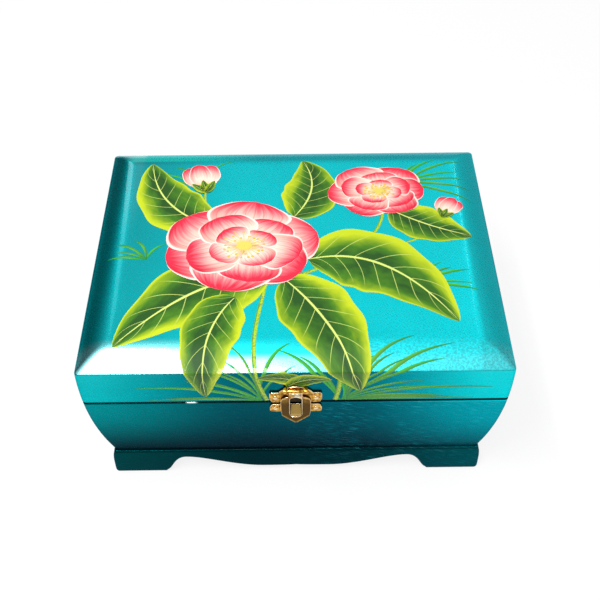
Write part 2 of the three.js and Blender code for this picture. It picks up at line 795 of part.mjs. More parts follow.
function windowShape() {
  const top = windowTop - flapPivot;
  const foot = -windowFoot - flapPivot;
  const spring = top - windowHalfWidth * 0.8;
  const shape = new THREE.Shape();
  shape.moveTo(-windowHalfWidth, foot);
  shape.lineTo(windowHalfWidth, foot);
  shape.lineTo(windowHalfWidth, spring);
  shape.bezierCurveTo(windowHalfWidth, top - 0.6, 1.6, top, 0, top);
  shape.bezierCurveTo(-1.6, top, -windowHalfWidth, top - 0.6, -windowHalfWidth, spring);
  return shape;
}

// A shield-shaped flap with a half-round, hollow ridge, hung on its knuckle, which is the origin.
// The ridge starts at the knuckle with a bevel that meets the upper plate when the flap is open.
function flap() {
  const back = claspBarrelRadius - 0.15;
  const plate = solidOf(slabAlongY(flapShape(), [back - flapThickness, back]));
  const foot = -ridgeFoot - flapPivot;
  const ridge = (shrink) => {
    const radius = ridgeHalfWidth - shrink;
    const reach = ridgeHeight + flapThickness - shrink;
    const capsule = new THREE.CapsuleGeometry(radius, 2 * radius - foot - shrink, 6, 24);
    capsule.rotateX(Math.PI / 2).translate(0, 0, (foot + shrink) / 2 + radius);
    const bevel = block([-50, 50], [-50, -claspBarrelRadius + shrink], [-50, 50]);
    return cut(
      solidOf(capsule.scale(1, reach / radius, 1).translate(0, back, 0)),
      solidOf(block([-50, 50], [back, 50], [-50, 50])),
      solidOf(block([-50, 50], [-50, 50], [-0.2 - shrink, 50])),
      solidOf(bevel.rotateX(radians(flapSwing - 180))),
    );
  };
  const hollow = ridge(flapThickness);
  const roll = solidOf(rodAlongX(claspBarrelRadius, around(0, flapKnuckle), 0, 0));
  const bore = rodAlongX(claspPinRadius + pinPlay, [-boxWidth, boxWidth], 0, 0, 12);
  const shell = plate.add(ridge(0)).subtract(hollow);
  const openSlot = solidOf(slabAlongY(windowShape(), [-50, 50]));
  return cut(shell.add(roll), openSlot, solidOf(bore));
}

function claspGroup() {
  const group = new THREE.Group();
  upperMount.add(piece("clasp_upper_plate", upperPlate(), "brass"));
  lowerMount.add(piece("clasp_lower_plate", lowerPlate(), "brass"));
  const pinSpan = around(0, 2 * (claspSpan + cheekWidth + clearance));
  const pin = piece("clasp_pin", rodAlongX(claspPinRadius, pinSpan, 0, 0, 10), "brass");
  pin.position.set(0, pivotOut, pivotUp);
  upperMount.add(pin);
  const hanging = piece("clasp_flap", flap(), "brass");
  hanging.position.copy(pin.position);
  hanging.rotation.x = radians(flapLean) - upperMount.rotation.x;
  upperMount.add(hanging);
  for (const [where, mount] of Object.entries({ lid: upperMount, body: lowerMount })) {
    for (const [side, sign] of Object.entries(earPlaces)) {
      const nail = piece(`clasp_nail_${where}_${side}`, nailGeometry(), "brass");
      nail.position.set(sign * earMiddle, nailSeat, 0);
      mount.add(nail);
    }
    group.add(mount);
  }
  return group;
}

// Tray

function trayBoards() {
  const zRange = [trayBottom, trayTop];
  const shell = loft([
    outline(trayHalfWidth, trayHalfDepth, cornerRadius / 2, trayBottom),
    outline(trayHalfWidth, trayHalfDepth, cornerRadius / 2, trayTop - arris),
    outline(trayHalfWidth - arris, trayHalfDepth - arris, cornerRadius / 2, trayTop),
  ]);
  const halfWidth = trayHalfWidth - trayWall;
  const halfDepth = trayHalfDepth - trayWall;
  const cavity = block([-halfWidth, halfWidth], [-halfDepth, halfDepth], [trayBottom - 1, trayTop + 1]);
  return mitredBoards(cut(solidOf(shell), solidOf(cavity)), halfWidth, halfDepth, zRange);
}

function ringRolls(width) {
  const shape = new THREE.Shape();
  const pitch = width / rollCount;
  const radius = (pitch - rollGap) / 2;
  const shoulder = rollHeight - radius;
  shape.moveTo(0, 0);
  shape.lineTo(width, 0);
  for (let i = rollCount; i > 0; i--) {
    const right = i * pitch - rollGap / 2;
    if (i < rollCount) shape.lineTo(right, rollBacking);
    else shape.lineTo(right, 0.5);
    shape.lineTo(right, shoulder);
    shape.absarc(right - radius, shoulder, radius, 0, Math.PI, false);
    shape.lineTo(right - 2 * radius, i > 1 ? rollBacking : 0.5);
  }
  return shape;
}

// A ribbon folded double: two plies that lie on each other, with the fold at the top.
function pullTab() {
  const height = tabDrop + tabRise;
  const shape = new THREE.Shape();
  shape.moveTo(-tabPly, 0);
  shape.lineTo(tabPly, 0);
  shape.lineTo(tabPly, height - tabPly);
  shape.absarc(0, height - tabPly, tabPly, 0, Math.PI, false);
  return slabAlongY(shape, around(0, tabWidth), 5);
}

function trayGroup() {
  const group = new THREE.Group();
  for (const [side, board] of Object.entries(trayBoards())) {
    group.add(piece(`tray_${side}`, board, "darkLacquer"));
  }
  const halfWidth = trayHalfWidth - trayWall - clearance;
  const halfDepth = trayHalfDepth - trayWall - clearance;
  const floor = block([-halfWidth, halfWidth], [-halfDepth, halfDepth], [trayBottom, trayFloorTop]);
  group.add(piece("tray_floor", floor, "velvet"));

  const dividerRange = [trayFloorTop + clearance, trayFloorTop + clearance + dividerHeight];
  const tabSpace = 2 * tabPly + 2 * clearance;
  const firstX = -halfWidth + tabSpace + ringBayWidth + dividerThickness / 2;
  const secondX = firstX + dividerThickness + middleBayWidth;
  const upright = (x) =>
    block(around(x, dividerThickness), [-halfDepth, halfDepth], dividerRange);
  group.add(piece("tray_divider_rings", upright(firstX), "velvet"));
  group.add(piece("tray_divider_middle", upright(secondX), "velvet"));

  const crossing = (fromX, toX, y) =>
    block([fromX + clearance, toX - clearance], around(y, dividerThickness), dividerRange);
  const edge = dividerThickness / 2;
  group.add(piece("tray_cross_middle", crossing(firstX + edge, secondX - edge, 0), "velvet"));
  for (const [name, sign] of [["front", -1], ["back", 1]]) {
    const cross = crossing(secondX + edge, halfWidth + clearance, (sign * halfDepth) / 3);
    group.add(piece(`tray_cross_${name}`, cross, "velvet"));
  }

  const rollsWidth = ringBayWidth - 2 * clearance;
  const rolls = slabAlongY(ringRolls(rollsWidth), [-halfDepth, halfDepth], 8);
  const ringCushion = piece("ring_rolls", rolls, "velvet");
  ringCushion.position.set(
    firstX - dividerThickness / 2 - clearance - rollsWidth,
    0,
    trayFloorTop + clearance,
  );
  group.add(ringCushion);

  for (const [side, sign] of [["left", -1], ["right", 1]]) {
    const tab = piece(`pull_tab_${side}`, pullTab(), "ribbon");
    tab.position.set(sign * (halfWidth - tabPly), 0, trayTop - tabDrop);
    group.add(tab);
  }
  return group;
}

const jewelleryBox = new THREE.Group();
jewelleryBox.add(caseGroup(), liningGroup(), lidGroup());
jewelleryBox.add(hingeGroup(false), hingeGroup(true), claspGroup(), trayGroup());

export default jewelleryBox;
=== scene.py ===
import json
import math
import random
from types import SimpleNamespace

import bmesh
import bpy
from mathutils import Matrix, Vector, noise


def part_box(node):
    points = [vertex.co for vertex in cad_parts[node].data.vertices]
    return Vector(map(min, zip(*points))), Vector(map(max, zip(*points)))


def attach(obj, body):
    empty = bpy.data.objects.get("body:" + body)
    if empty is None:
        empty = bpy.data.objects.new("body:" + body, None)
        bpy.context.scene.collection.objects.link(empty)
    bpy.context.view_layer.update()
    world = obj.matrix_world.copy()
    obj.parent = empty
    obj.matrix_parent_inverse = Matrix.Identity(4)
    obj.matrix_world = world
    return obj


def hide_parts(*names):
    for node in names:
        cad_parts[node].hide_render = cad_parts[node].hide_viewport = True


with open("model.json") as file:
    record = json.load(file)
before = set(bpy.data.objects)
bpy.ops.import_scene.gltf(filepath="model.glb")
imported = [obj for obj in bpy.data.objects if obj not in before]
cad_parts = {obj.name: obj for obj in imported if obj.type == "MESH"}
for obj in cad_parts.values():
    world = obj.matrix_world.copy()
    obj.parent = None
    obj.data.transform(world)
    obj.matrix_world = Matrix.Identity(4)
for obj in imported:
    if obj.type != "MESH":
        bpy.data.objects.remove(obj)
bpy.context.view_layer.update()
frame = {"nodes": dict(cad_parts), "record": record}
scene = bpy.context.scene


# Shader maths written as expressions

class Wire:
    def __init__(self, shading, socket):
        self.shading, self.socket = shading, socket

    def isVector(self):
        return self.socket.type in ("VECTOR", "RGBA")

    def __add__(self, other):
        return self.shading.maths("ADD", self, other)

    def __radd__(self, other):
        return self.shading.maths("ADD", other, self)

    def __sub__(self, other):
        return self.shading.maths("SUBTRACT", self, other)

    def __rsub__(self, other):
        return self.shading.maths("SUBTRACT", other, self)

    def __mul__(self, other):
        return self.shading.maths("MULTIPLY", self, other)

    def __rmul__(self, other):
        return self.shading.maths("MULTIPLY", other, self)

    def __truediv__(self, other):
        return self.shading.maths("DIVIDE", self, other)

    def __pow__(self, other):
        return self.shading.maths("POWER", self, other)

    def __neg__(self):
        return 0 - self

    def __abs__(self):
        return self.shading.maths("ABSOLUTE", self)

    def fraction(self):
        return self.shading.maths("FRACT", self)

    def rise(self, low, high):                        # 0 below low, 1 above high, smooth between
        return self.shading.node(
            "ShaderNodeMapRange", {"interpolation_type": "SMOOTHSTEP"},
            {"Value": self, "From Min": low, "From Max": high}, "Result")

    def part(self, axis):
        return self.shading.node("ShaderNodeSeparateXYZ", {}, {0: self}, axis)


class Shading:
    def __init__(self, tree):
        self.tree = tree
        tree.nodes.clear()

    def node(self, kind, settings, sockets, out=0):
        made = self.tree.nodes.new(kind)
        for key, value in settings.items():
            if key == "stops":
                self.setStops(made.color_ramp, value)
            else:
                setattr(made, key, value)
        for key, value in sockets.items():
            socket = made.inputs[key]
            if isinstance(value, Wire):
                self.tree.links.new(value.socket, socket)
            elif socket.type == "RGBA" and len(value) == 3:
                socket.default_value = (*value, 1)
            else:
                socket.default_value = value
        return Wire(self, made.outputs[out]) if len(made.outputs) else made

    def setStops(self, ramp, stops):
        while len(ramp.elements) < len(stops):
            ramp.elements.new(0.5)
        for element, (place, colour) in zip(ramp.elements, stops):
            element.position = place
            element.color = (*colour, 1)

    def maths(self, operation, *values):
        vectors = any(isinstance(v, tuple) or isinstance(v, Wire) and v.isVector() for v in values)
        if not vectors:
            return self.node("ShaderNodeMath", {"operation": operation}, dict(enumerate(values)))
        wide = [(v, v, v) if isinstance(v, (int, float)) else v for v in values]
        return self.node("ShaderNodeVectorMath", {"operation": operation}, dict(enumerate(wide)))

    def larger(self, first, second):
        return self.maths("MAXIMUM", first, second)

    def smaller(self, first, second):
        return self.maths("MINIMUM", first, second)

    def mix(self, first, second, factor):
        return self.node("ShaderNodeMix", {"data_type": "RGBA"}, {0: factor, 6: first, 7: second}, 2)

    def ramp(self, value, stops):
        return self.node("ShaderNodeValToRGB", {"stops": stops}, {0: value}, "Color")

    def place(self):
        return self.node("ShaderNodeTexCoord", {}, {}, "Object")

    def vector(self, x, y, z):
        return self.node("ShaderNodeCombineXYZ", {}, {0: x, 1: y, 2: z})

    def trait(self, name):                            # a value stored on the mesh's points
        return self.node("ShaderNodeAttribute", {"attribute_name": name}, {}, "Fac")

    def noise(self, vector, scale, detail=2.0, roughness=0.5):
        return self.node("ShaderNodeTexNoise", {}, {
            "Vector": vector, "Scale": scale, "Detail": detail, "Roughness": roughness}, 0)

    def bump(self, height, strength, distance):
        return self.node("ShaderNodeBump", {}, {
            "Height": height, "Strength": strength, "Distance": distance}, "Normal")

    def surface(self, sockets):
        shader = self.node("ShaderNodeBsdfPrincipled", {}, sockets)
        self.node("ShaderNodeOutputMaterial", {}, {"Surface": shader})


def newFinish(name):
    material = bpy.data.materials.new(name)
    material.use_nodes = True
    return material, Shading(material.node_tree)


# Mesh tools

def newPiece(name, points, faces, material, body, stands=(), sharp=35):
    mesh = bpy.data.meshes.new(name)
    mesh.from_pydata([tuple(p) for p in points], [], faces)
    return adopt(name, mesh, material, body, stands, sharp)


def adopt(name, mesh, material, body, stands=(), sharp=35):
    mesh.validate()
    shadeSmooth(mesh, sharp)
    if not mesh.materials:
        mesh.materials.append(material)
    piece = bpy.data.objects.new(name, mesh)
    scene.collection.objects.link(piece)
    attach(piece, body)
    if stands:
        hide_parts(*stands)
    return piece


def shadeSmooth(mesh, sharp):                         # edges steeper than sharp, in degrees, stay edges
    mesh.polygons.foreach_set("use_smooth", [True] * len(mesh.polygons))
    mesh.set_sharp_from_angle(angle=math.radians(sharp))


def settle(piece):                                    # applies the piece's modifiers to its mesh
    view = bpy.context.evaluated_depsgraph_get()
    mesh = bpy.data.meshes.new_from_object(piece.evaluated_get(view))
    piece.modifiers.clear()
    piece.data = mesh


def addBevel(piece, width, segments):
    change = piece.modifiers.new("eased", "BEVEL")
    change.width, change.segments = width, segments
    change.limit_method, change.angle_limit = "ANGLE", math.radians(40)


def cutAway(piece, cutters, sharp=35):
    for cutter in cutters:
        change = piece.modifiers.new("cut", "BOOLEAN")
        change.operation, change.solver, change.object = "DIFFERENCE", "EXACT", cutter
    settle(piece)
    piece.data.set_sharp_from_angle(angle=math.radians(sharp))
    for cutter in cutters:
        bpy.data.objects.remove(cutter)


def reshape(piece, change):                           # change works on the piece's mesh as a bmesh
    shape = bmesh.new()
    shape.from_mesh(piece.data)
    change(shape)
    shape.to_mesh(piece.data)
    shape.free()


def faceOut(shape):
    bmesh.ops.recalc_face_normals(shape, faces=shape.faces[:])


def edgesAt(shape, axis, level, near=0.0):            # adds edges where the shape crosses a level
    spot, way = Vector(), Vector()
    spot[axis], way[axis] = level, 1
    bmesh.ops.bisect_plane(shape, geom=shape.verts[:] + shape.edges[:] + shape.faces[:], dist=near,
                           plane_co=spot, plane_no=way)


def outline(halfX, halfY, radius, z, steps=6, lead=0.0012):
    points = []
    for turn, (sx, sy) in enumerate(((1, 1), (-1, 1), (-1, -1), (1, -1))):
        cx, cy = sx * (halfX - radius), sy * (halfY - radius)
        for i in range(steps + 1):
            angle = (turn + i / steps) * math.pi / 2
            points.append(Vector((cx + radius * math.cos(angle), cy + radius * math.sin(angle), z)))
    # A point a little way along each straight side keeps the side's shading flat.
    full = []
    for i, point in enumerate(points):
        full.append(point)
        if i % (steps + 1) == steps:
            after = points[(i + 1) % len(points)]
            way = (after - point).normalized() * lead
            full += [point + way, after - way]
    return full


def skin(rings, closed=False, capFirst=False, capLast=False):
    count = len(rings[0])
    faces = []
    pairs = list(zip(range(len(rings)), range(1, len(rings))))
    if closed:
        pairs.append((len(rings) - 1, 0))
    for low, high in pairs:
        for i in range(count):
            j = (i + 1) % count
            faces.append((low * count + i, low * count + j, high * count + j, high * count + i))
    if capFirst:
        faces.append(tuple(reversed(range(count))))
    if capLast:
        faces.append(tuple(range((len(rings) - 1) * count, len(rings) * count)))
    return [p for ring in rings for p in ring], faces


def cuttingPiece(name, shape):
    mesh = bpy.data.meshes.new(name)
    shape.to_mesh(mesh)
    shape.free()
    piece = bpy.data.objects.new(name, mesh)
    scene.collection.objects.link(piece)
    return piece


def block(name, low, high):
    shape = bmesh.new()
    bmesh.ops.create_cube(shape, size=1)
    bmesh.ops.scale(shape, vec=Vector(high) - Vector(low), verts=shape.verts)
    bmesh.ops.translate(shape, vec=(Vector(low) + Vector(high)) / 2, verts=shape.verts)
    return cuttingPiece(name, shape)


def rod(name, radius, start, end, sides=48):
    shape = bmesh.new()
    start, end = Vector(start), Vector(end)
    turn = (end - start).to_track_quat("Z", "Y").to_matrix().to_4x4()
    bmesh.ops.create_cone(shape, cap_ends=True, segments=sides, radius1=radius, radius2=radius,
                          depth=(end - start).length, matrix=Matrix.Translation((start + end) / 2) @ turn)
    return cuttingPiece(name, shape)


def bend(points, s):                                  # on the curve that three or four points pull
    spots = [Vector(p) for p in points]
    while len(spots) > 1:
        spots = [here.lerp(there, s) for here, there in zip(spots, spots[1:])]
    return spots[0]


def curve(points, steps):
    return [bend(points, i / steps) for i in range(steps + 1)]


def quarterTurn(start, corner, end, steps=4):         # rounds a profile's corner
    return curve((start, corner, end), steps)


def arc(radius, start, end, steps):                   # from start to end, in turns
    angles = (2 * math.pi * (start + (end - start) * i / steps) for i in range(steps + 1))
    return [(radius * math.cos(a), radius * math.sin(a)) for a in angles]


# The case's form, from the frame

form = {
    "bellyRadius": 0.300,
    "widestLevel": 0.097,
    "cornerRadius": 0.0025,
    "innerRadius": 0.0008,
    "arris": 0.0006,                                  # rounding of a sharp edge
    "creaseRise": 0.0029,                             # of the lid's crease over its ceiling
    "rollWidth": 0.020,                               # of the rolled edge, from the crease inwards
    "rollDrop": 0.007,
    "crownRise": 0.0008,                              # of the lid's flat top, towards its middle
}
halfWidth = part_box("lid_right")[1].x
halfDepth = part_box("lid_back")[1].y
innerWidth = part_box("body_right")[0].x
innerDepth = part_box("body_back")[0].y
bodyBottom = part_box("plinth_front")[1].z
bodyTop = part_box("body_left")[1].z
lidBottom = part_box("lid_left")[0].z
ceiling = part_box("lid_top")[0].z
seamLevel = (bodyTop + lidBottom) / 2
crease = ceiling + form["creaseRise"]
edgeNames = ("front", "back", "left", "right")


def inset(z):
    r = form["bellyRadius"]
    return r - math.sqrt(r * r - (z - form["widestLevel"]) ** 2)


def outerRing(d, z):
    return outline(halfWidth - d, halfDepth - d, form["cornerRadius"], z)


def sideRing(z, extra=0.0):
    return outerRing(inset(z) + extra, z)


def innerRing(z, extra=0.0):
    return outline(innerWidth + extra, innerDepth + extra, form["innerRadius"], z)


rollStart = inset(crease) + form["arris"] / 2
rollTurn = 2 * math.atan(form["rollDrop"] / form["rollWidth"])
rollRadius = form["rollWidth"] / math.sin(rollTurn)
crownStart = rollStart + form["rollWidth"]
crownRun = halfDepth - 2 * form["cornerRadius"] - crownStart
flatWidth = halfWidth - crownStart                    # from the middle of the top to its rolled edge
flatDepth = halfDepth - crownStart


def topLevel(d):                                      # of the lid, at d in from its widest line
    high = crease + form["rollDrop"]
    if d < crownStart:
        left = form["rollWidth"] - max(d - rollStart, 0)
        return high - rollRadius + math.sqrt(rollRadius ** 2 - left ** 2)
    share = min((d - crownStart) / crownRun, 1)
    return high + form["crownRise"] * math.sin(share * math.pi / 2) ** 2


# Finishes

lacquerLook = {
    "top": (0.0, 0.73, 0.80),
    "frontGlow": (0.24, 0.64, 0.68),                  # painted highlight on the rounding at the front, towards the left
    "backGlow": (0.01, 1.0, 0.88),                    # painted highlight on the rounding at the back, towards the left
    "leftShade": 0.41,                                # how much darker the top is at the left, as painted shade
    "leftRollShade": 0.34,                            # and its rounding there, painted shade too
    "rollShade": 0.20,                                # and its rounding at the right and the back, painted shade too
    "middle": (0.0, 0.125, 0.165),                    # of the band on the lid, darker in the middle of each side as painted shade
    "endGlow": (0.0, 0.47, 0.50),                     # of its ends, paler as painted highlight
    "paleEnds": (0.013, 0.0, 0.0),                    # added to its ends as painted reflection
    "caseShare": 0.53,                                # of the band's colour just under the seam; painted shade darkens the case below
    "lowShare": 0.012,                                # of it at the foot of the case
    "lowGlow": (0.0, 0.0075, 0.0085),                 # added to the case's painted shade all the way down
    # of it on the plinth, darker still as painted shade
    "plinthShare": 0.095,
    "seamShare": 0.05,                                # of the colour left in the seam, as painted shade between lid and case
    "rightTint": (0.0, 1.0, 1.12),                    # of the case's right end, paler and bluer as painted light
    "rightGain": 0.40,                                # how much more the right end shines, as painted light
    "glint": (0.55, 0.62, 0.60),                      # of the spot of light in the seam
    "glintAt": -0.0585,
    "streak": (0.10, 0.50, 0.60),                     # of the slanted brush marks, pale as painted sheen
    "streakSlant": 0.28,
    "streakAlong": 120,                               # noise cells in a metre, along a mark
    "streakAcross": 1250,                             # and across it
    "flake": 1150,
    "cloud": 38,
    "metal": 0.97,
    "edgeTint": (0.0, 0.50, 0.56),                    # of the reflection at a low angle
    "coat": 0.26,                                     # clear coat on the top
    "rollCoat": 1.0,                                  # on its rounding at the front
    "sideCoat": 0.02,                                 # and on the sides
    "coatRoughness": 0.05,
}
lacquerReach = {                                      # where a tone starts and is full, in metres
    "upTheCase": (0.019, 0.076),                      # the case's painted shade, darker towards the floor
    "right": (-0.02, 0.105),                          # the painted light on the right of the sides
    "leftShade": (0.03, 0.100),                       # the painted shade at the left of the top, from the middle
    "leftEnd": (0.102, 0.116),                        # and where it grows weaker again
    "farBack": (0.06, 0.07),                          # the painted shade on the rounding at the back
    "farSide": (-0.09, -0.02),                        # from left to right
    "backGlow": (0.02, 0.07),                         # the painted highlight on the rounding at the back, from the middle
    "backGlowEnd": (0.112, 0.104),
    "narrow": (-0.075, -0.035),                       # the painted highlight on the rounding at the front, from left to right
    "narrowEnd": (-0.03, 0.05),
    "streaks": (-0.01, 0.04),                         # stronger brush marks and painted sheen at the right
    "coarse": (-0.03, 0.04),                          # coarser flakes at the front, towards the right
    "leftCorner": (0.076, 0.108),                     # lower gloss at the front, from the middle
    "leftGloss": (0.0, 0.06),                         # gloss on the left rounding, towards the back
}


def coatWeight(f, place):                             # the rounding at the front is glossier
    left, y = -place.part("X"), place.part("Y")
    dip = left.rise(*lacquerReach["leftCorner"]) * 0.009
    atFront = (-y - dip).rise(flatDepth, flatDepth + 0.012)
    atLeft = left.rise(flatWidth - 0.004, flatWidth) * y.rise(*lacquerReach["leftGloss"]) * 0.7
    more = lacquerLook["rollCoat"] - lacquerLook["coat"]
    return lacquerLook["coat"] + more * f.larger(atFront, atLeft)


def lacquerZones(f):                                  # where a point is on the box, as shares from 0 to 1
    place = f.place()
    x, y, z = place.part("X"), place.part("Y"), place.part("Z")
    inward = f.smaller(halfWidth - abs(x), halfDepth - abs(y))
    seam = abs(z - seamLevel)
    reach = lacquerReach
    return SimpleNamespace(
        place=place, x=x, y=y, z=z, seam=seam, offSeam=seam.rise(0.0007, 0.0014),
        onTop=z.rise(crease - 0.0004, crease + 0.0008),
        onLid=z.rise(seamLevel - 0.0002, seamLevel + 0.0002),
        onPlinth=1 - z.rise(bodyBottom - 0.0005, bodyBottom),
        rolled=1 - inward.rise(crownStart - 0.006, crownStart - 0.003),
        height=z.rise(*reach["upTheCase"]) * 0.98 + 0.02, rightward=x.rise(*reach["right"]))


def lacquerSide(f, at):                               # the band on the lid, the case and the plinth
    look = lacquerLook
    # Painted light and shade: each side is darker in its middle and paler towards its ends.
    glow = f.smaller(abs(at.x) / halfWidth, abs(at.y) / halfDepth).rise(0.22, 1.05)
    band = f.mix(look["middle"], look["endGlow"], glow) * (1 + look["rightGain"] * at.rightward)
    # Painted shade: the case is darker towards the floor, and the plinth darker still.
    onCase = look["caseShare"] * at.height ** (1 - 0.55 * at.rightward) + look["lowShare"]
    below = at.onPlinth * look["plinthShare"] + (1 - at.onPlinth) * onCase
    # Painted shade along the seam between lid and case.
    seamDip = look["seamShare"] + (1 - look["seamShare"]) * at.offSeam
    side = band * (at.onLid + (1 - at.onLid) * below) * seamDip
    # Painted light: the case's right end is paler and bluer.
    side = side * f.mix(look["rightTint"], (0, 1, 1), f.larger(at.onLid, 1 - at.rightward))
    # A painted highlight along the case's edge just under the seam, towards the right.
    lip = at.seam.rise(0.0010, 0.0014) * (1 - at.seam.rise(0.0018, 0.0024)) * (1 - at.onLid)
    pale = f.mix((0, 0, 0), look["paleEnds"], glow)
    side = side * (1 + lip * at.rightward * 0.7) + f.mix(look["lowGlow"], pale, at.onLid)
    # A painted spot of light on the seam's outer edge.
    fromFace = at.y + (halfDepth - inset(seamLevel))
    spot = (1 - at.offSeam) * (1 - abs(at.x - look["glintAt"]).rise(0.001, 0.004))
    return f.mix(side, look["glint"], spot * (1 - fromFace.rise(0.0003, 0.0007)))


def lacquerTop(f, at):
    look, reach, left = lacquerLook, lacquerReach, -at.x
    # Painted shade: the top is darker at the left, and its rounding is darker at the left, right and back.
    leftward = left.rise(*reach["leftShade"]) * (1 - left.rise(*reach["leftEnd"]) * 0.45)
    sunk = at.rolled * left.rise(flatWidth - 0.004, flatWidth)
    atRight = at.x.rise(flatWidth, flatWidth + 0.003)
    far = at.rolled * f.larger(atRight, at.y.rise(*reach["farBack"]) * at.x.rise(*reach["farSide"]))
    shade = f.larger(leftward * look["leftShade"], sunk * look["leftRollShade"])
    top = f.mix(look["top"], (0, 0, 0), f.larger(shade, far * look["rollShade"]))
    # Painted highlights: the rounding at the back, towards the left, and the rounding at the front are paler.
    atBack = at.y.rise(flatDepth + 0.003, flatDepth + 0.006)
    lit = at.rolled * atBack * left.rise(*reach["backGlow"]) * left.rise(*reach["backGlowEnd"])
    top = f.mix(top, look["backGlow"], lit * 0.8)
    middle = at.x.rise(*reach["narrow"])
    wide = (-at.y).rise(flatDepth - 0.001, flatDepth + 0.010) * (1 - middle)
    narrow = (-at.y).rise(halfDepth - 0.0105, halfDepth - 0.0055) * middle
    narrow = narrow * (1 - 0.85 * at.x.rise(*reach["narrowEnd"]))
    return f.mix(top, look["frontGlow"], wide + narrow)


def lacquerStreaks(f, at):                            # fine slanted brush marks with painted sheen, mostly on the lit right
    look = lacquerLook
    along = at.x + at.y
    slanted = f.vector((along - at.z * look["streakSlant"]) * look["streakAlong"], 0,
                       (at.z + along * look["streakSlant"]) * look["streakAcross"])
    patches = f.noise(at.place, 30, 2, 0.5).rise(0.30, 0.56)
    marks = f.noise(slanted, 1, 3, 0.6).rise(0.49, 0.72) * patches * at.offSeam
    marks = marks * (1 - at.onTop) * (1 - at.onLid * 0.6) * (1 - at.onPlinth * 0.6)
    return marks * (0.08 + 0.43 * at.x.rise(*lacquerReach["streaks"])) * (0.55 + 0.45 * at.height)


def lacquerGrain(f, at):                              # a share of the colour, the flakes, and the bumps
    look = lacquerLook
    flake = f.noise(at.place, look["flake"], 2, 0.6)
    cells = f.node("ShaderNodeTexVoronoi", {}, {"Vector": at.place, "Scale": look["flake"]}, "Color")
    spark = cells.part("X")
    cloud = f.noise(at.place, look["cloud"], 3, 0.6)
    brushed = f.noise(f.vector((at.x + at.y) * 60, 0, at.z * 1700), 1, 3, 0.6)
    atFront = (-at.y).rise(halfDepth - 0.026, halfDepth - 0.010)
    coarse = atFront * at.x.rise(*lacquerReach["coarse"])
    sparkle = f.noise(at.place, look["flake"] * 0.7, 2, 0.7).rise(0.36, 0.64)
    onSide = 0.62 + 0.34 * flake + 0.22 * cloud + 0.05 * spark + 0.22 * brushed
    onTop = 0.84 + 0.10 * flake + 0.16 * cloud + 0.05 * spark + coarse * (0.40 * sparkle - 0.24)
    grain = (1 - at.onTop) * onSide + at.onTop * onTop
    return grain, flake, (flake + spark) * (1 - at.onTop * (1 - coarse) * 0.8)


def lacquerFinish():
    material, f = newFinish("turquoiseLacquer")
    look, at = lacquerLook, lacquerZones(f)
    grain, flake, bumps = lacquerGrain(f, at)
    colour = f.mix(lacquerSide(f, at), lacquerTop(f, at), at.onTop) * grain
    f.surface({
        "Base Color": f.mix(colour, look["streak"], lacquerStreaks(f, at)),
        "Metallic": look["metal"], "Roughness": 0.22 + 0.12 * flake,
        "Specular IOR Level": 0.1, "Specular Tint": look["edgeTint"],
        "Normal": f.bump(bumps, 0.11, 0.0002),
        "Coat Weight": look["sideCoat"] + (coatWeight(f, at.place) - look["sideCoat"]) * at.onTop,
        "Coat Roughness": look["coatRoughness"], "Coat IOR": 1.5})
    return material


def darkLacquerFinish():
    material, f = newFinish("blackLacquer")
    place = f.place()
    wave = f.noise(place, 60, 2, 0.5)
    f.surface({
        "Base Color": f.mix((0.006, 0.006, 0.007), (0.018, 0.016, 0.016), wave),
        "Roughness": 0.32 + 0.1 * wave, "Coat Weight": 0.6, "Coat Roughness": 0.08,
        "Normal": f.bump(f.noise(place, 500, 2), 0.05, 0.0002)})
    return material


clothLook = {
    "velvet": (0.34, 0.015, 0.05),
    "velvetShadow": (0.10, 0.004, 0.014),
    "velvetSheen": (0.95, 0.35, 0.4),
    "ribbon": (0.42, 0.03, 0.08),
    "ribbonShadow": (0.20, 0.01, 0.03),
}


def velvetFinish():
    material, f = newFinish("wineVelvet")
    place = f.place()
    nap = f.noise(place, 55, 3, 0.6)
    pile = f.noise(place, 2600, 2, 0.7)
    lit = nap.rise(0.3, 0.7) * 0.6 + pile * 0.4
    f.surface({
        "Base Color": f.mix(clothLook["velvetShadow"], clothLook["velvet"], lit),
        "Roughness": 0.95, "Sheen Weight": 0.8, "Sheen Roughness": 0.35,
        "Sheen Tint": clothLook["velvetSheen"], "Normal": f.bump(pile, 0.5, 0.0003)})
    return material


def ribbonFinish():
    material, f = newFinish("satinRibbon")
    ribs = f.noise(f.place() * (1.0, 1.0, 0.1), 3000, 2)
    f.surface({
        "Base Color": f.mix(clothLook["ribbonShadow"], clothLook["ribbon"], ribs),
        "Roughness": 0.4, "Sheen Weight": 0.4, "Normal": f.bump(ribs, 0.4, 0.0002)})
    return material


giltLook = {
    "gold": (0.80, 0.46, 0.075),
    "deep": (0.32, 0.115, 0.012),
    # painted shade on the flap's wings and in the clasp's hollows
    "shadeBrown": (0.085, 0.042, 0.004),
    "shadow": (0.006, 0.004, 0.002),
    "worn": (1.0, 0.93, 0.72),
    "tan": (0.47, 0.31, 0.09),
}


def giltFinish():
    material, f = newFinish("gilt")
    place = f.place()
    blotch = f.noise(place, 520, 3, 0.6)
    fine = f.noise(place, 1800, 2, 0.6)
    colour = f.mix(giltLook["deep"], giltLook["gold"], blotch.rise(0.36, 0.58))
    colour = f.mix(colour, giltLook["tan"], f.trait("tan"))
    colour = f.mix(colour, giltLook["worn"], f.trait("worn"))
    # painted shade, from the point trait dark
    colour = f.mix(colour, giltLook["shadeBrown"], f.trait("dark"))
    f.surface({
        # painted shadow behind the flap's window and on the backs of the sheets
        "Base Color": f.mix(colour, giltLook["shadow"], f.trait("hidden")),
        "Metallic": 1.0, "Roughness": 0.13 + 0.12 * fine + 0.25 * f.trait("tan"),
        "Normal": f.bump(blotch, 0.12, 0.0004)})
    return material


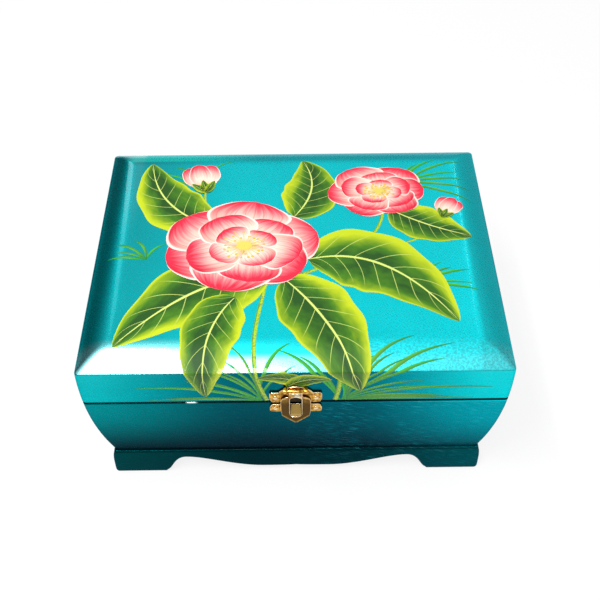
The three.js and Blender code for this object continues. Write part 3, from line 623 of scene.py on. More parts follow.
def mirrorFinish():
    material, f = newFinish("silveredGlass")
    haze = f.noise(f.place(), 90, 2)
    f.surface({"Base Color": (0.88, 0.91, 0.91), "Metallic": 1.0, "Roughness": 0.01 + 0.02 * haze})
    return material


lacquer = lacquerFinish()
darkLacquer = darkLacquerFinish()
velvet = velvetFinish()
ribbon = ribbonFinish()
gilt = giltFinish()
silvered = mirrorFinish()
print("finishes made")

nodeFinishes = {"lacquer": lacquer, "dark_lacquer": darkLacquer, "velvet": velvet,
                "ribbon": ribbon, "brass": gilt, "mirror": silvered}
for row in frame["record"]["subparts"]:
    node = frame["nodes"][row["node"]]
    node.data.materials.clear()
    node.data.materials.append(nodeFinishes[row["material_slot"]])


# Lacquered shells

shellForm = {
    "flare": 0.0003,                                  # runs out over the plinth's ledge
    "flareHeight": 0.0012,
    "caseSteps": 26, "lidSteps": 12, "rollSteps": 18, "crownSteps": 14,
    "leaf": 0.001,                                    # thickness of a hinge leaf, let into the edges
    "play": 0.0003,                                   # around a hinge
}


def darkInside(piece, top):                           # the walls and edges inside are black, up to top
    piece.data.materials.append(darkLacquer)
    for face in piece.data.polygons:
        c = face.center
        inside = abs(c.x) < innerWidth + 0.0002 and abs(c.y) < innerDepth + 0.0002
        if inside and c.z < top + 0.0001:
            face.material_index = 1


def hingeCutters():
    cutters = []
    play, deep = shellForm["play"], shellForm["leaf"] + shellForm["play"]
    for side in ("left", "right"):
        low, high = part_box(f"hinge_leaf_body_{side}")
        radius = (high.z - low.z) / 2
        start, end = low.x - play, high.x + play
        axisY = high.y - radius
        cutters += [
            block("mortise", (start, low.y - play, bodyTop - deep), (end, axisY, lidBottom + deep)),
            rod("barrel", radius + 2 * play, (start, axisY, seamLevel), (end, axisY, seamLevel))]
    return cutters


def caseShell():
    a, flare, steps = form["arris"], shellForm["flare"], shellForm["caseSteps"]
    start = bodyBottom - flare + shellForm["flareHeight"]
    rings = [sideRing(bodyBottom - flare + shellForm["flareHeight"] * s, -flare * (1 - s) ** 2)
             for s in (i / 5 for i in range(6))]
    rings += [sideRing(start + (bodyTop - a - start) * i / steps) for i in range(1, steps + 1)]
    rings += [sideRing(p.y, p.x) for p in quarterTurn((0, bodyTop - a), (0, bodyTop), (a, bodyTop))[1:]]
    rings += [sideRing(bodyTop, 3 * a), innerRing(bodyTop, 2 * a)]
    rings += [innerRing(p.y, p.x)
              for p in quarterTurn((a / 2, bodyTop), (0, bodyTop), (0, bodyTop - a / 2), 3)]
    rings += [innerRing(bodyTop - 2 * a), innerRing(bodyBottom - flare)]
    points, faces = skin(rings, closed=True)
    shell = newPiece("case_shell", points, faces, lacquer, "case",
                     [f"body_{e}" for e in edgeNames])
    darkInside(shell, bodyTop)
    cutAway(shell, hingeCutters())


def lidShell():
    a, low, steps = form["arris"], lidBottom, shellForm["lidSteps"]
    rings = [outline(innerWidth * 0.1, innerDepth * 0.1, form["innerRadius"], ceiling)]
    rings += [innerRing(ceiling), innerRing(low + 2 * a)]
    rings += [innerRing(p.y, p.x) for p in quarterTurn((0, low + a / 2), (0, low), (a / 2, low), 3)]
    rings += [innerRing(low, 2 * a), sideRing(low, 3 * a)]
    rings += [sideRing(p.y, p.x) for p in quarterTurn((a, low), (0, low), (0, low + a))]
    rings += [sideRing(low + a + (crease - low - 2 * a) * i / steps) for i in range(1, steps + 1)]
    start, end = inset(crease - a), rollStart + a
    turn = quarterTurn((start, crease - a), (inset(crease), crease), (end, topLevel(end)))
    rings += [outerRing(p.x, p.y) for p in turn[1:]]
    for first, run, count in ((end, crownStart - end, shellForm["rollSteps"]),
                              (crownStart, crownRun, shellForm["crownSteps"])):
        spots = [first + run * i / count for i in range(1, count + 1)]
        rings += [outerRing(d, topLevel(d)) for d in spots]
    points, faces = skin(rings, capFirst=True, capLast=True)
    shell = newPiece("lid_shell", points, faces, lacquer, "lid",
                     ["lid_top"] + [f"lid_{e}" for e in edgeNames])
    darkInside(shell, ceiling)
    cutAway(shell, hingeCutters())


plinthForm = {
    "footLength": 0.0325,
    "footRamp": 0.0125,
    "scallopRise": 0.0136,
    "scallopStart": 0.3,                              # where it leaves the apron, between middle and peak
    "apronLow": 0.0045,
    "apronMiddle": 0.005,
    "edge": 0.0022,                                   # rounding of the lower edge
    "backEdge": 0.0006,
    "ledge": 0.0029,                                  # rounding on the ledge
    "drop": 0.0120,                                   # and down the face
    "dropSteps": 9,
    "thickness": 0.014,
    "cornerSteps": 8,
}


def apronEdge(halfLength):                            # (along, level) from the middle to a foot
    p = plinthForm
    span = halfLength - p["footLength"]
    peak = span - p["footRamp"]
    low, rise, leave = p["apronLow"], p["scallopRise"], p["scallopStart"]
    middle = curve(((0, p["apronMiddle"]), (peak * 0.08, low), (peak * 0.2, low), (peak * leave, low)), 8)
    belly = curve(((peak * leave, low), (peak * 0.55, low), (peak - 0.014, rise), (peak, rise)), 16)
    ramp = curve(((peak, rise), (peak + 0.008, rise), (span - 0.004, 0.003), (span, 0.001)), 16)
    foot = [Vector((span + 0.0002, 0.0004)), Vector((span + 0.0009, 0.0))]
    return middle + belly[1:] + ramp[1:] + foot


def plinthSection(lift, top):                         # (inset, level) from the lower edge round
    p = plinthForm
    r, e, thick, drop = p["edge"], p["backEdge"], p["thickness"], p["drop"]
    start = 1 - math.sqrt(min(drop, top - lift - r - 0.0003) / drop)
    first = p["ledge"] * start ** 2
    found = [(first + q.x, lift + q.y) for q in quarterTurn((r, 0), (0, 0), (0, r), 5)]
    for i in range(p["dropSteps"] + 1):
        s = start + (1 - start) * i / p["dropSteps"]
        found.append((p["ledge"] * s * s, top - drop * (1 - s) ** 2))
    found += [(r * 3, top), (thick - e, top), (thick, top - e)]          # then the back
    return found + [(thick, lift + e), (thick - e, lift), (r * 3, lift)]


def plinthShell():
    p = plinthForm
    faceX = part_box("plinth_right")[1].x
    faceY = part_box("plinth_back")[1].y
    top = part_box("plinth_front")[1].z
    rings = []
    for turn, (halfLength, out) in enumerate(((faceX, faceY), (faceY, faceX)) * 2):
        edge = apronEdge(halfLength)
        reach = halfLength - p["thickness"] - 0.002
        stops = [(-reach, 0, 0)] + [(-q.x, q.y, 0) for q in reversed(edge[1:])]
        stops += [(q.x, q.y, 0) for q in edge] + [(reach, 0, 0)]
        for i in range(p["cornerSteps"] + 1):         # the corner that follows, as angles
            stops.append((None, 0, i / p["cornerSteps"] * math.pi / 2))
        for along, lift, angle in stops:
            ring = []
            for d, level in plinthSection(lift, top):
                radius = max(form["cornerRadius"] - d, 0.0004)
                x = halfLength - d - radius + radius * math.sin(angle) if along is None else along
                y = out - d - radius + radius * math.cos(angle)
                ring.append(Matrix.Rotation(turn * math.pi / 2, 3, "Z") @ Vector((x, -y, level)))
            rings.append(ring)
    points, faces = skin(rings, closed=True)
    outward = [(a, d, c, b) for a, b, c, d in faces]
    newPiece("plinth_shell", points, outward, lacquer, "case",
             [f"plinth_{e}" for e in edgeNames])


caseShell()
lidShell()
plinthShell()
print("shells made")


# Clasp, drawn in millimetres about its mounts: x to the right, y into the case, z up

claspForm = {
    "sheet": 0.8,
    "seat": -0.3,                                     # the back of the plates
    "edge": 0.32,                                     # rounding of a stamped edge
    "softEdge": 0.22,                                 # and of a thick piece
    "rimWearAndHighlight": 0.60,                                  # how bright a stamped edge is, as wear and painted highlight
    "sunk": 0.2,                                      # how far a piece reaches into its plate
    "halfWidth": 14.7, "earCorner": 1.6, "earWaist": 0.7, "archHalfWidth": 9.8, "earLift": 0.3,
    "earStart": 8.9, "earFull": 9.5, "hollowAt": (7.3, 2.6), "hollow": 1.5,
    "upperMount": 5.2, "upperFoot": -4.2, "earTop": 4.6, "crown": 9.6,
    "lowerMount": -4.8, "lowerHead": 3.8, "earFoot": -3.4, "lowerTip": -8.7,
    "earMiddle": 11.4, "nailRadius": 1.5, "nailHeight": 1.2, "nailFoot": 1.0, "nailBrim": 0.25,
    "pivotOut": -2.8, "pivotUp": 8.0, "lean": 2.0,
    "roll": 1.4, "pin": 0.6, "pinReach": 7.0, "cheekStart": 4.7, "cheekEnd": 6.7,
    "neck": 4.4, "shoulder": -6.4, "hip": -23.0, "tip": -30.0, "side": 8.5, "cornerIn": 0.8,
    "flapSheet": 0.9, "flapBack": 1.25, "rim": 0.55,
    "ridgeHalf": 4.3, "ridgeHeight": 3.0, "ridgeFoot": -23.2, "ridgeBevel": 30,
    "ridgeCuts": (3.45, 3.6, 3.72, 3.82, 3.9, 3.96, 4.0),          # where its sides are steep
    "windowHalf": 3.3, "windowTop": -2.2, "windowFoot": -20.4, "windowSpring": -5.6,
    "nibHalf": 3.0, "nibFoot": -2.1, "nibLedge": 2.4, "nibHeight": 6.7, "nibReach": -5.4,
    "nibCrest": -2.1, "nibBack": -1.4,
    "plateCell": 0.7, "flapCell": 0.5, "flapRow": 0.6,
}


def onFront(z):                                       # millimetres on the front's face to the frame
    lean = math.asin((form["widestLevel"] - z) / form["bellyRadius"])
    return (Matrix.Translation((0, inset(z) - halfDepth, z)) @ Matrix.Rotation(lean, 4, "X")
            @ Matrix.Scale(0.001, 4))


upperPlace = onFront(seamLevel + claspForm["upperMount"] / 1000)
lowerPlace = onFront(seamLevel + claspForm["lowerMount"] / 1000)
pivotPlace = upperPlace @ Vector((0, claspForm["pivotOut"], claspForm["pivotUp"]))
flapPlace = (Matrix.Translation(pivotPlace) @ Matrix.Rotation(math.radians(claspForm["lean"]), 4, "X")
             @ Matrix.Scale(0.001, 4))


def smooth(value, low, high):
    share = max(0, min((value - low) / (high - low), 1))
    return share * share * (3 - 2 * share)


def mirrored(points):                                 # a right half, from its foot up, made whole
    return points + [Vector((-p.x, p.y)) for p in reversed(points) if p.x > 1e-6]


def upperLoop():
    c = claspForm
    half, corner, foot, top = c["halfWidth"], c["earCorner"], c["upperFoot"], c["earTop"]
    inner, rise = half - c["earWaist"], c["crown"] - top
    radius = (c["archHalfWidth"] ** 2 + rise ** 2) / (2 * rise)
    turn = math.asin(c["archHalfWidth"] / radius)
    points = [Vector((0, foot))]
    points += quarterTurn((inner - corner, foot), (inner, foot), (inner, foot + corner), 6)
    points += quarterTurn((inner, foot + corner), (half, foot + corner + 1), (half, 0), 6)[1:]
    points += quarterTurn((half, top - corner), (half, top), (half - corner, top), 6)
    for angle in (turn * (1 - i / 24) for i in range(25)):
        points.append(Vector((radius * math.sin(angle), c["crown"] - radius * (1 - math.cos(angle)))))
    return mirrored(points)


def lowerLoop():
    c = claspForm
    half, corner, inner = c["halfWidth"], c["earCorner"], c["halfWidth"] - c["earWaist"]
    head, foot, tip = c["lowerHead"], c["earFoot"], c["lowerTip"]
    points = quarterTurn((0, tip), (half * 0.3, tip + 2.4), (c["archHalfWidth"], foot), 12)
    points += quarterTurn((half - corner, foot), (half, foot), (half, foot + corner), 6)
    points += quarterTurn((half, 0), (half, head - corner - 1), (inner, head - corner), 6)
    points += quarterTurn((inner, head - corner), (inner, head), (inner - corner, head), 6)[1:]
    return mirrored(points + [Vector((0, head))])


def flapLoop():
    c = claspForm
    side, neck, shoulder, hip, tip = c["side"], c["neck"], c["shoulder"], c["hip"], c["tip"]
    points = quarterTurn((-1, tip + c["cornerIn"]), (0, tip), (1, tip + c["cornerIn"]), 8)[4:]
    points += quarterTurn((side - c["cornerIn"], hip), (side, hip + 1), (side, shoulder - 4.6), 14)
    turn = ((side, shoulder - 4.6), (side, shoulder - 1.8), (neck + 2.4, shoulder), (neck, shoulder))
    return mirrored(points + curve(turn, 14)[1:] + [Vector((neck, 0))])


def windowLoop():
    c = claspForm
    half, foot, spring, top = c["windowHalf"], c["windowFoot"], c["windowSpring"], c["windowTop"]
    points = [Vector((half, foot))] + curve(((half, spring), (half, top - 1.4), (1.4, top), (0, top)), 16)
    return list(reversed(mirrored(points)))


def plateRelief(x, z):                                # how far out, then the shares of painted shade, painted shadow, wear and painted highlight, and tan
    c = claspForm
    ears = smooth(abs(x), c["earStart"], c["earFull"])
    # Painted shadow on the plate behind the flap's window.
    behind = (1 - smooth(abs(x), c["neck"] - 0.2, c["neck"] + 0.3)) * (1 - smooth(z, 5.5, 7.0))
    # Painted shade in the hollow beside the flap, and the ears darker towards their foot.
    hollow = math.exp(-sum(((v - at) / c["hollow"]) ** 2 for v, at in zip((abs(x), z), c["hollowAt"])))
    foot = 0.35 * ears * (1 - smooth(z, -3.5, 0.5))
    return c["earLift"] * ears, max(0.8 * hollow, foot), 0.97 * behind, 0, 0


def flapRelief(x, z):
    c = claspForm
    half, side, bevel = c["ridgeHalf"], c["side"], math.radians(c["ridgeBevel"])
    share = (1 - min(math.hypot(x / half, max(0, (c["ridgeFoot"] + half - z) / half)), 1) ** 4) ** 0.6
    bevelled = (c["roll"] - z * math.sin(bevel)) / math.cos(bevel) + c["flapBack"] - c["flapSheet"]
    ridge = min(c["ridgeHeight"] * share, bevelled) if share > 0 else 0
    edge = Vector((side - c["cornerIn"] - 1, c["hip"] - c["tip"] - c["cornerIn"])).normalized()
    fromEdge = (z - c["hip"]) * edge.x - (abs(x) - side + c["cornerIn"]) * edge.y
    overHip = smooth(z, c["hip"], c["hip"] + 1.5)
    rim = c["rim"] * (1 - smooth(fromEdge, 0, 1.0)) * (1 - overHip)
    # Painted shade on the flap's wings, with less of it on the rim.
    wing = (1 - smooth(share, 0.0, 0.6)) * (1 - smooth(z, -8.6, -6.8)) * smooth(side - abs(x), 0, 0.5)
    dark = wing * (0.80 + 0.2 * smooth(-z, 8, 14)) * (1 - rim)
    # Painted highlight down the ridge's crest and on its right flank.
    crestHighlight = share * math.exp(-((x - 0.7) / 1.7) ** 2) * (1 - smooth(-z, 8, 12))
    flankHighlight = share * smooth(x, 3.0, 3.4) * (1 - smooth(-z, 9, 14)) * 0.8
    return ridge + rim, dark, 0, max(crestHighlight, flankHighlight), share * smooth(-z, 10, 14) * overHip


def sheetMetal(name, loops, sheet, relief, cuts, place, body, stands):
    edge = claspForm["edge"]
    back, thickness = sheet
    made = bmesh.new()
    layers = [made.verts.layers.float.new(n) for n in ("dark", "hidden", "worn", "tan")]
    steps = [(0, 0)] + [(edge * (1 - math.cos(a)), thickness - edge + edge * math.sin(a))
                        for a in (math.pi / 6 * i for i in range(4))]
    fronts, backs = [], []
    for loop in loops:
        count = len(loop)
        inward = []
        for i, point in enumerate(loop):
            way = (point - loop[i - 1]).normalized() + (loop[(i + 1) % count] - point).normalized()
            inward.append(Vector((-way.y, way.x)).normalized())
        rings = [[made.verts.new((p.x + w.x * d, back - y, p.y + w.y * d)) for p, w in zip(loop, inward)]
                 for d, y in steps]
        for low, high in zip(rings, rings[1:]):
            for i in range(count):
                made.faces.new((low[i], low[i - 1], high[i - 1], high[i]))
        for edges, ring in ((backs, rings[0]), (fronts, rings[-1])):
            edges += [made.edges.get((ring[i], ring[i - 1])) for i in range(count)]
    for edges, way in ((fronts, -1), (backs, 1)):
        bmesh.ops.triangle_fill(made, use_beauty=True, edges=edges, normal=(0, way, 0))
    for axis, levels in zip((0, 2), cuts):
        for level in levels:
            edgesAt(made, axis, level, 1e-4)
    for vert in made.verts:
        out, *values = relief(vert.co.x, vert.co.z)
        # The back of the sheet is darkened as painted shadow.
        if vert.co.y > back - 1e-3:
            values = [0, 0.5, 0, 0]
        # Its rounded front edge gets wear and painted highlight.
        elif vert.co.y > back - thickness + 0.01:
            values = [values[0] * 0.3, 0, claspForm["rimWearAndHighlight"], 0]
        for layer, value in zip(layers, values):
            vert[layer] = value
        vert.co.y -= out
    faceOut(made)
    made.transform(place)
    mesh = bpy.data.meshes.new(name)
    made.to_mesh(mesh)
    made.free()
    adopt(name, mesh, gilt, body, stands, 50)


def spaced(low, high, step):
    count = round((high - low) / step)
    return [low + (high - low) * i / count for i in range(1, count)]


def prism(name, profile, reach, place, body, stands=()):            # a (y, z) profile carried along x
    rings = [[place @ Vector((x, *spot)) for spot in profile] for x in reach]
    points, faces = skin(rings, capFirst=True, capLast=True)
    piece = newPiece(name, points, faces, gilt, body, stands)
    addBevel(piece, claspForm["softEdge"] / 1000, 3)
    settle(piece)
    shadeSmooth(piece.data, 35)
    return piece


def mark(piece, trait, value):
    values = piece.data.attributes.new(trait, "FLOAT", "POINT").data
    for entry in values:
        entry.value = value


def weld(shape):
    bmesh.ops.remove_doubles(shape, verts=shape.verts, dist=1e-6)
    bmesh.ops.dissolve_degenerate(shape, edges=shape.edges, dist=1e-7)
    faceOut(shape)


def turned(name, profile, place, body, stands, sides=40):           # a closed lathe about y
    rings = [[place @ Vector((r * x, y, r * z)) for r, y in profile] for x, z in arc(1, 0, 1, sides)[:-1]]
    points, faces = skin(rings, closed=True)
    piece = newPiece(name, points, faces, gilt, body, stands, 50)
    reshape(piece, weld)
    return piece


def makePlates():
    c = claspForm
    half, start, full = c["halfWidth"], c["earStart"], c["earFull"]
    middle = (start + full) / 2
    cuts = (spaced(-half, half, c["plateCell"]) + [-full, -middle, -start, start, middle, full],
            spaced(c["lowerTip"], c["crown"], c["plateCell"]))
    for name, loop, place, body, node in (
            ("clasp_crown", upperLoop(), upperPlace, "lid", "clasp_upper_plate"),
            ("clasp_catch", lowerLoop(), lowerPlace, "case", "clasp_lower_plate")):
        sheetMetal(name, [loop], (c["seat"], c["sheet"]), plateRelief, cuts, place, body, [node])


def makeFlap():
    c = claspForm
    flanks = [s * x for s in (-1, 1) for x in c["ridgeCuts"]]
    feet = [c["ridgeFoot"] + rise for rise in (0, 0.05, 0.15, 0.3, 0.5)]
    cuts = (spaced(-c["side"], c["side"], c["flapCell"]) + flanks,
            spaced(c["tip"], 0, c["flapRow"]) + feet)
    sheetMetal("clasp_shield", [flapLoop(), windowLoop()], (c["flapBack"], c["flapSheet"]),
               flapRelief, cuts, flapPlace, "flap", ["clasp_flap"])
    prism("clasp_knuckle", arc(c["roll"], 0, 1, 48)[:-1], (-c["neck"], c["neck"]), flapPlace, "flap")


def makePivot():                                      # the upper plate's two curls and their pin
    c = claspForm
    out, up, roll = c["pivotOut"], c["pivotUp"], c["roll"]
    held = c["seat"] - c["sheet"] + c["sunk"]
    curl = [(out - y, up + z) for y, z in arc(roll, -0.25, 0.25, 20)]
    curl = [(held, up - roll)] + curl + [(held, up + roll)]
    start, end = c["cheekStart"], c["cheekEnd"]
    for side, reach in (("left", (-end, -start)), ("right", (start, end))):
        prism(f"clasp_curl_{side}", curl, reach, upperPlace, "lid")
    pinPlace = upperPlace @ Matrix.Translation((0, out, up))
    prism("clasp_axle", arc(c["pin"], 0, 1, 24)[:-1], (-c["pinReach"], c["pinReach"]), pinPlace, "lid",
          ["clasp_pin"])


def makeNib():
    c = claspForm
    foot, head, reach = c["nibFoot"], c["nibFoot"] + c["nibHeight"], c["nibReach"]
    held, lip = c["seat"] - c["sheet"] + c["sunk"], c["lowerHead"] - c["sunk"]
    wedge = [(held, foot), (reach, foot), (reach, foot + c["nibLedge"]), (c["nibCrest"], head),
             (c["nibBack"], head), (c["nibBack"], lip), (held, lip)]
    nib = prism("clasp_nib", wedge, (-c["nibHalf"], c["nibHalf"]), lowerPlace, "case")
    mark(nib, "tan", 1.0)


def makeStuds():
    c = claspForm
    wide, foot, brim = c["nailRadius"], -c["nailFoot"], -c["nailFoot"] - c["nailBrim"]
    tall = c["nailHeight"] - c["nailBrim"]
    dome = [(0, foot), (wide - 0.1, foot), (wide, brim)]
    dome += [(wide * x, brim - tall * y) for x, y in arc(1, 1 / 32, 7 / 32, 6)]
    dome.append((0, brim - tall))
    for where, place, body in (("lid", upperPlace, "lid"), ("body", lowerPlace, "case")):
        for side, x in (("left", -c["earMiddle"]), ("right", c["earMiddle"])):
            stud = turned(f"clasp_stud_{where}_{side}", dome, place @ Matrix.Translation((x, 0, 0)), body,
                          [f"clasp_nail_{where}_{side}"])
            # the stud heads get wear and painted highlight
            mark(stud, "worn", 0.45)


makePlates()
makeFlap()
makePivot()
makeNib()
makeStuds()
print("clasp made")


# Inside: eased edges on the boards, and the soft goods

easings = (                                           # the start of a node's name, rounding, segments
    ("lining_", 0.0010, 4),
    ("tray_divider", 0.0012, 4),
    ("tray_cross", 0.0012, 4),
    ("tray_", 0.0007, 3),
    ("mirror_frame", 0.0008, 3),
    ("mirror", 0.0005, 2),
    ("lid_lining", 0.0008, 3),
    ("hinge_leaf", 0.00015, 2),
    ("hinge_pin", 0.00015, 2),
)


def easeBoards():
    done = set()
    for start, width, segments in easings:
        for name, node in frame["nodes"].items():
            if name.startswith(start) and name not in done:
                done.add(name)
                addBevel(node, width, segments)


padForm = {
    "welt": 0.0009,                                   # radius of the rounded edge
    "foot": 0.0008,                                   # how far it draws in at its foot
    "footRise": 0.0004,
    "corner": 0.003,
    "dip": 0.0007,                                    # depth of the sewn line
    "dipHalf": 0.0022,                                # and its half width
    "lineIn": 0.0060,                                 # its place, in from the edge
    "cell": 0.0070,
    "unevenness": 0.00022,
}


def floorPad():
    low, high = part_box("floor_pad")
    p = padForm
    halfX, halfY, top = high.x, high.y, high.z - p["unevenness"]
    profile = [(p["foot"], low.z), (0, low.z + p["footRise"]), (0, top - p["welt"])]
    profile += [(p["welt"] - x, top - p["welt"] + y) for x, y in arc(p["welt"], 1 / 16, 1 / 4, 3)]
    profile += [(p["lineIn"] + s * p["dipHalf"], top - p["dip"] * math.cos(s * math.pi / 2) ** 2)
                for s in ((i - 4) / 4 for i in range(9))]
    rings = [outline(halfX - d, halfY - d, p["corner"], z) for d, z in profile]
    points, faces = skin(rings, capFirst=True, capLast=True)
    pad = newPiece("velvet_floor_pad", points, faces, velvet, "case", ["floor_pad"], 60)

    def makeUneven(shape):
        for axis, reach in ((0, halfX), (1, halfY)):
            for i in range(1, round(2 * reach / p["cell"])):
                edgesAt(shape, axis, i * p["cell"] - reach)
        for vert in shape.verts:
            if vert.co.z > top - p["dip"] - 0.0001:
                vert.co.z += p["unevenness"] * noise.noise(vert.co * 38)

    reshape(pad, makeUneven)


rollForm = {"count": 5, "gap": 0.0010, "end": 0.0030, "tight": 0.72, "slices": 52, "sides": 40,
            "unevenness": 0.00018}


def signedPower(value, exponent):                     # keeps the value's sign
    return math.copysign(abs(value) ** exponent, value)


def ringRolls():
    low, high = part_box("ring_rolls")
    r = rollForm
    width = (high.x - low.x - (r["count"] - 1) * r["gap"]) / r["count"]
    halfX, halfZ, level = width / 2, (high.z - low.z) / 2, (low.z + high.z) / 2
    points, faces = [], []
    for k in range(r["count"]):
        middle = low.x + halfX + k * (width + r["gap"])
        rings = []
        for i in range(r["slices"] + 1):
            y = low.y + (high.y - low.y) * i / r["slices"]
            near = min(y - low.y, high.y - y) / r["end"]
            tight = r["tight"] + (1 - r["tight"]) * math.sqrt(1 - (1 - min(near, 1)) ** 2)
            ring = []
            for across, rise in arc(1, 0, 1, r["sides"])[:-1]:
                across = signedPower(across, 0.75)
                rise = signedPower(rise, 0.95 if rise > 0 else 0.45)
                z = max(level + rise * halfZ * tight, low.z)
                spot = Vector((middle + across * halfX * tight, y, z))
                swell = 1 + (noise.noise(spot * 90) - 1) * r["unevenness"] / halfX
                ring.append(Vector((middle + (spot.x - middle) * swell, y, z)))
            rings.append(ring)
        some, more = skin(rings, capFirst=True, capLast=True)
        faces += [tuple(i + len(points) for i in face) for face in more]
        points += some
    rolls = newPiece("velvet_ring_rolls", points, faces, velvet, "tray", ["ring_rolls"], 70)
    reshape(rolls, faceOut)


tabForm = {"cloth": 0.0003, "edge": 0.00012, "steps": 10}


def pullTab(side):                                    # a ribbon folded over, its ends under the rolls
    low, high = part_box(f"pull_tab_{side}")
    half, edge, steps = tabForm["cloth"] / 2, tabForm["edge"], tabForm["steps"]
    radius = (high.x - low.x) / 2 - half
    middle = (low.x + high.x) / 2
    turnLevel = high.z - radius - half
    tall = turnLevel - low.z
    path = [(middle - radius, low.z + tall * i / steps, 0.0) for i in range(steps)]
    path += [(middle - radius * math.cos(a), turnLevel + radius * math.sin(a), a)
             for a in (math.pi * i / 16 for i in range(17))]
    path += [(middle + radius, turnLevel - tall * i / steps, math.pi) for i in range(1, steps + 1)]
    section = ((low.y, -0.5), (low.y, 0.5), (low.y + edge, 1), (high.y - edge, 1),
               (high.y, 0.5), (high.y, -0.5), (high.y - edge, -1), (low.y + edge, -1))
    rings = []
    for x, z, a in path:
        way = Vector((-math.cos(a), 0, math.sin(a))) * half
        rings.append([Vector((x, y, z)) + way * out for y, out in section])
    points, faces = skin(rings, capFirst=True, capLast=True)
    tab = newPiece(f"ribbon_pull_{side}", points, faces, ribbon, "tray",
                   [f"pull_tab_{side}"], 60)
    reshape(tab, faceOut)
    length = 2 * tall + math.pi * radius
    print("ribbon", side, round(high.y - low.y, 4), "by", round(length, 4))


easeBoards()
floorPad()
ringRolls()
pullTab("left")
pullTab("right")
print("inside made")


# Painted spray on the lid

sprayLook = {
    "film": 0.00002,                                  # thickness of a coat of paint
    "coat": 0.45,                                     # how much of the lacquer's clear coat lies on it
    "grassLift": 0.000012,                            # how high each kind lies over the lid
    "stemLift": 0.00002,
    "leafLift": 0.00004,
    "blossomLift": 0.00016,
    "calyxLift": 0.00036,
    "stamenLift": 0.00046,
    "grassStep": 0.0000004,                           # and how much higher than the one before
    "stemStep": 0.000003,
    "leafStep": 0.000015,
    "petalStep": 0.00003,
    "stamenStep": 0.000001,
    "stamens": 30,
    "stamenTurn": 2.4,
    "thread": 0.00022,                                # half width of a stamen
    "anther": 0.0008,
    "cell": 0.0014,
    "reach": halfWidth - 0.008,
    "lowest": -(crease - lidBottom - form["arris"]) + 0.0002,
}


def frontProfile(t):                                  # (inset, level) at t in from the crease, or below it
    a = form["arris"]
    if t >= a:
        return rollStart + t, None
    if t <= -a:
        return inset(crease + t), crease + t
    end = rollStart + a
    rounding = ((inset(crease - a), crease - a), (inset(crease), crease), (end, topLevel(end)))
    return bend(rounding, (t + a) / (2 * a))


def lidPoint(x, t, lift):
    def spot(x, t):
        d, level = frontProfile(t)
        if level is None:
            level = topLevel(min(d, halfWidth - abs(x), 2 * halfDepth - d))
        return Vector((x, -(halfDepth - d), level))

    tiny = 0.00005
    across = spot(x + tiny, t) - spot(x - tiny, t)
    inward = spot(x, t + tiny) - spot(x, t - tiny)
    return spot(x, t) + across.cross(inward).normalized() * lift


class Spray:                                          # flat patches that are then laid on the lid
    def __init__(self):
        self.shape = bmesh.new()
        self.traits = [self.shape.verts.layers.float.new(n) for n in ("along", "across", "seed")]

    def patch(self, rows, lift, seed):                # rows of ((x, t), along, across)
        made = []
        for row in rows:
            line = []
            for (x, t), along, across in row:
                vert = self.shape.verts.new((x, t, lift))
                for layer, value in zip(self.traits, (along, across, seed)):
                    vert[layer] = value
                line.append(vert)
            made.append(line)
        faces = []
        for low, high in zip(made, made[1:]):
            for i in range(len(low) - 1):
                faces.append(self.shape.faces.new((low[i], low[i + 1], high[i + 1], high[i])))
        top = bmesh.ops.extrude_face_region(self.shape, geom=faces)["geom"]
        lifted = [v for v in top if isinstance(v, bmesh.types.BMVert)]
        bmesh.ops.translate(self.shape, vec=(0, 0, sprayLook["film"]), verts=lifted)

    def lay(self, name, material):
        for share in (-1, -0.5, 0, 0.5, 1):
            edgesAt(self.shape, 1, share * form["arris"])
        faceOut(self.shape)
        for vert in self.shape.verts:
            vert.co = lidPoint(*vert.co)
        mesh = bpy.data.meshes.new(name)
        self.shape.to_mesh(mesh)
        self.shape.free()
        adopt(name, mesh, material, "lid")


def ribbonRows(points, width, steps, across=2):
    rows = []
    for i in range(steps + 1):
        s = i / steps
        here = bend(points, s)
        way = (bend(points, min(s + 0.01, 1)) - bend(points, max(s - 0.01, 0))).normalized()
        side = Vector((-way.y, way.x))
        row = []
        for j in range(across + 1):
            v = 2 * j / across - 1
            row.append((here + side * v * width(s), s, v))
        rows.append(row)
    return rows


def leafWidth(half, wave, seed):
    def width(s):
        body = math.sin(math.pi * min(s ** 0.72, 1)) ** 0.75
        return half * body * (1 + wave * math.sin(s * 23 + seed * 9)) + 0.0002
    return width


leaves = (                                            # base, bend, tip, half width
    ((-0.014, 0.066), (-0.056, 0.070), (-0.100, 0.014), 0.026),
    ((0.008, 0.080), (0.056, 0.094), (0.092, 0.030), 0.025),
    ((-0.050, 0.110), (-0.088, 0.128), (-0.092, 0.172), 0.019),
    ((0.000, 0.118), (0.020, 0.146), (0.006, 0.174), 0.0175),
    ((0.060, 0.124), (0.082, 0.108), (0.108, 0.100), 0.0150),
    ((-0.006, 0.064), (0.022, 0.034), (0.036, -0.016), 0.0215),
    ((-0.034, 0.050), (-0.054, 0.026), (-0.050, -0.020), 0.0165),
    ((0.005, -0.0115), (-0.003, -0.0015), (-0.021, -0.0045), 0.0050),
    ((-0.005, -0.0120), (0.004, -0.0030), (0.020, -0.0060), 0.0046),
)


def paintLeaves(material):
    spray = Spray()
    for i, (base, middle, tip, half) in enumerate(leaves):
        steps = round((Vector(tip) - Vector(base)).length / sprayLook["cell"])
        across = round(2 * half / sprayLook["cell"])
        rows = ribbonRows((base, middle, tip), leafWidth(half, 0.035, i), steps, across)
        spray.patch(rows, sprayLook["leafLift"] + i * sprayLook["leafStep"], i / 7)
    spray.lay("painted_leaves", material)


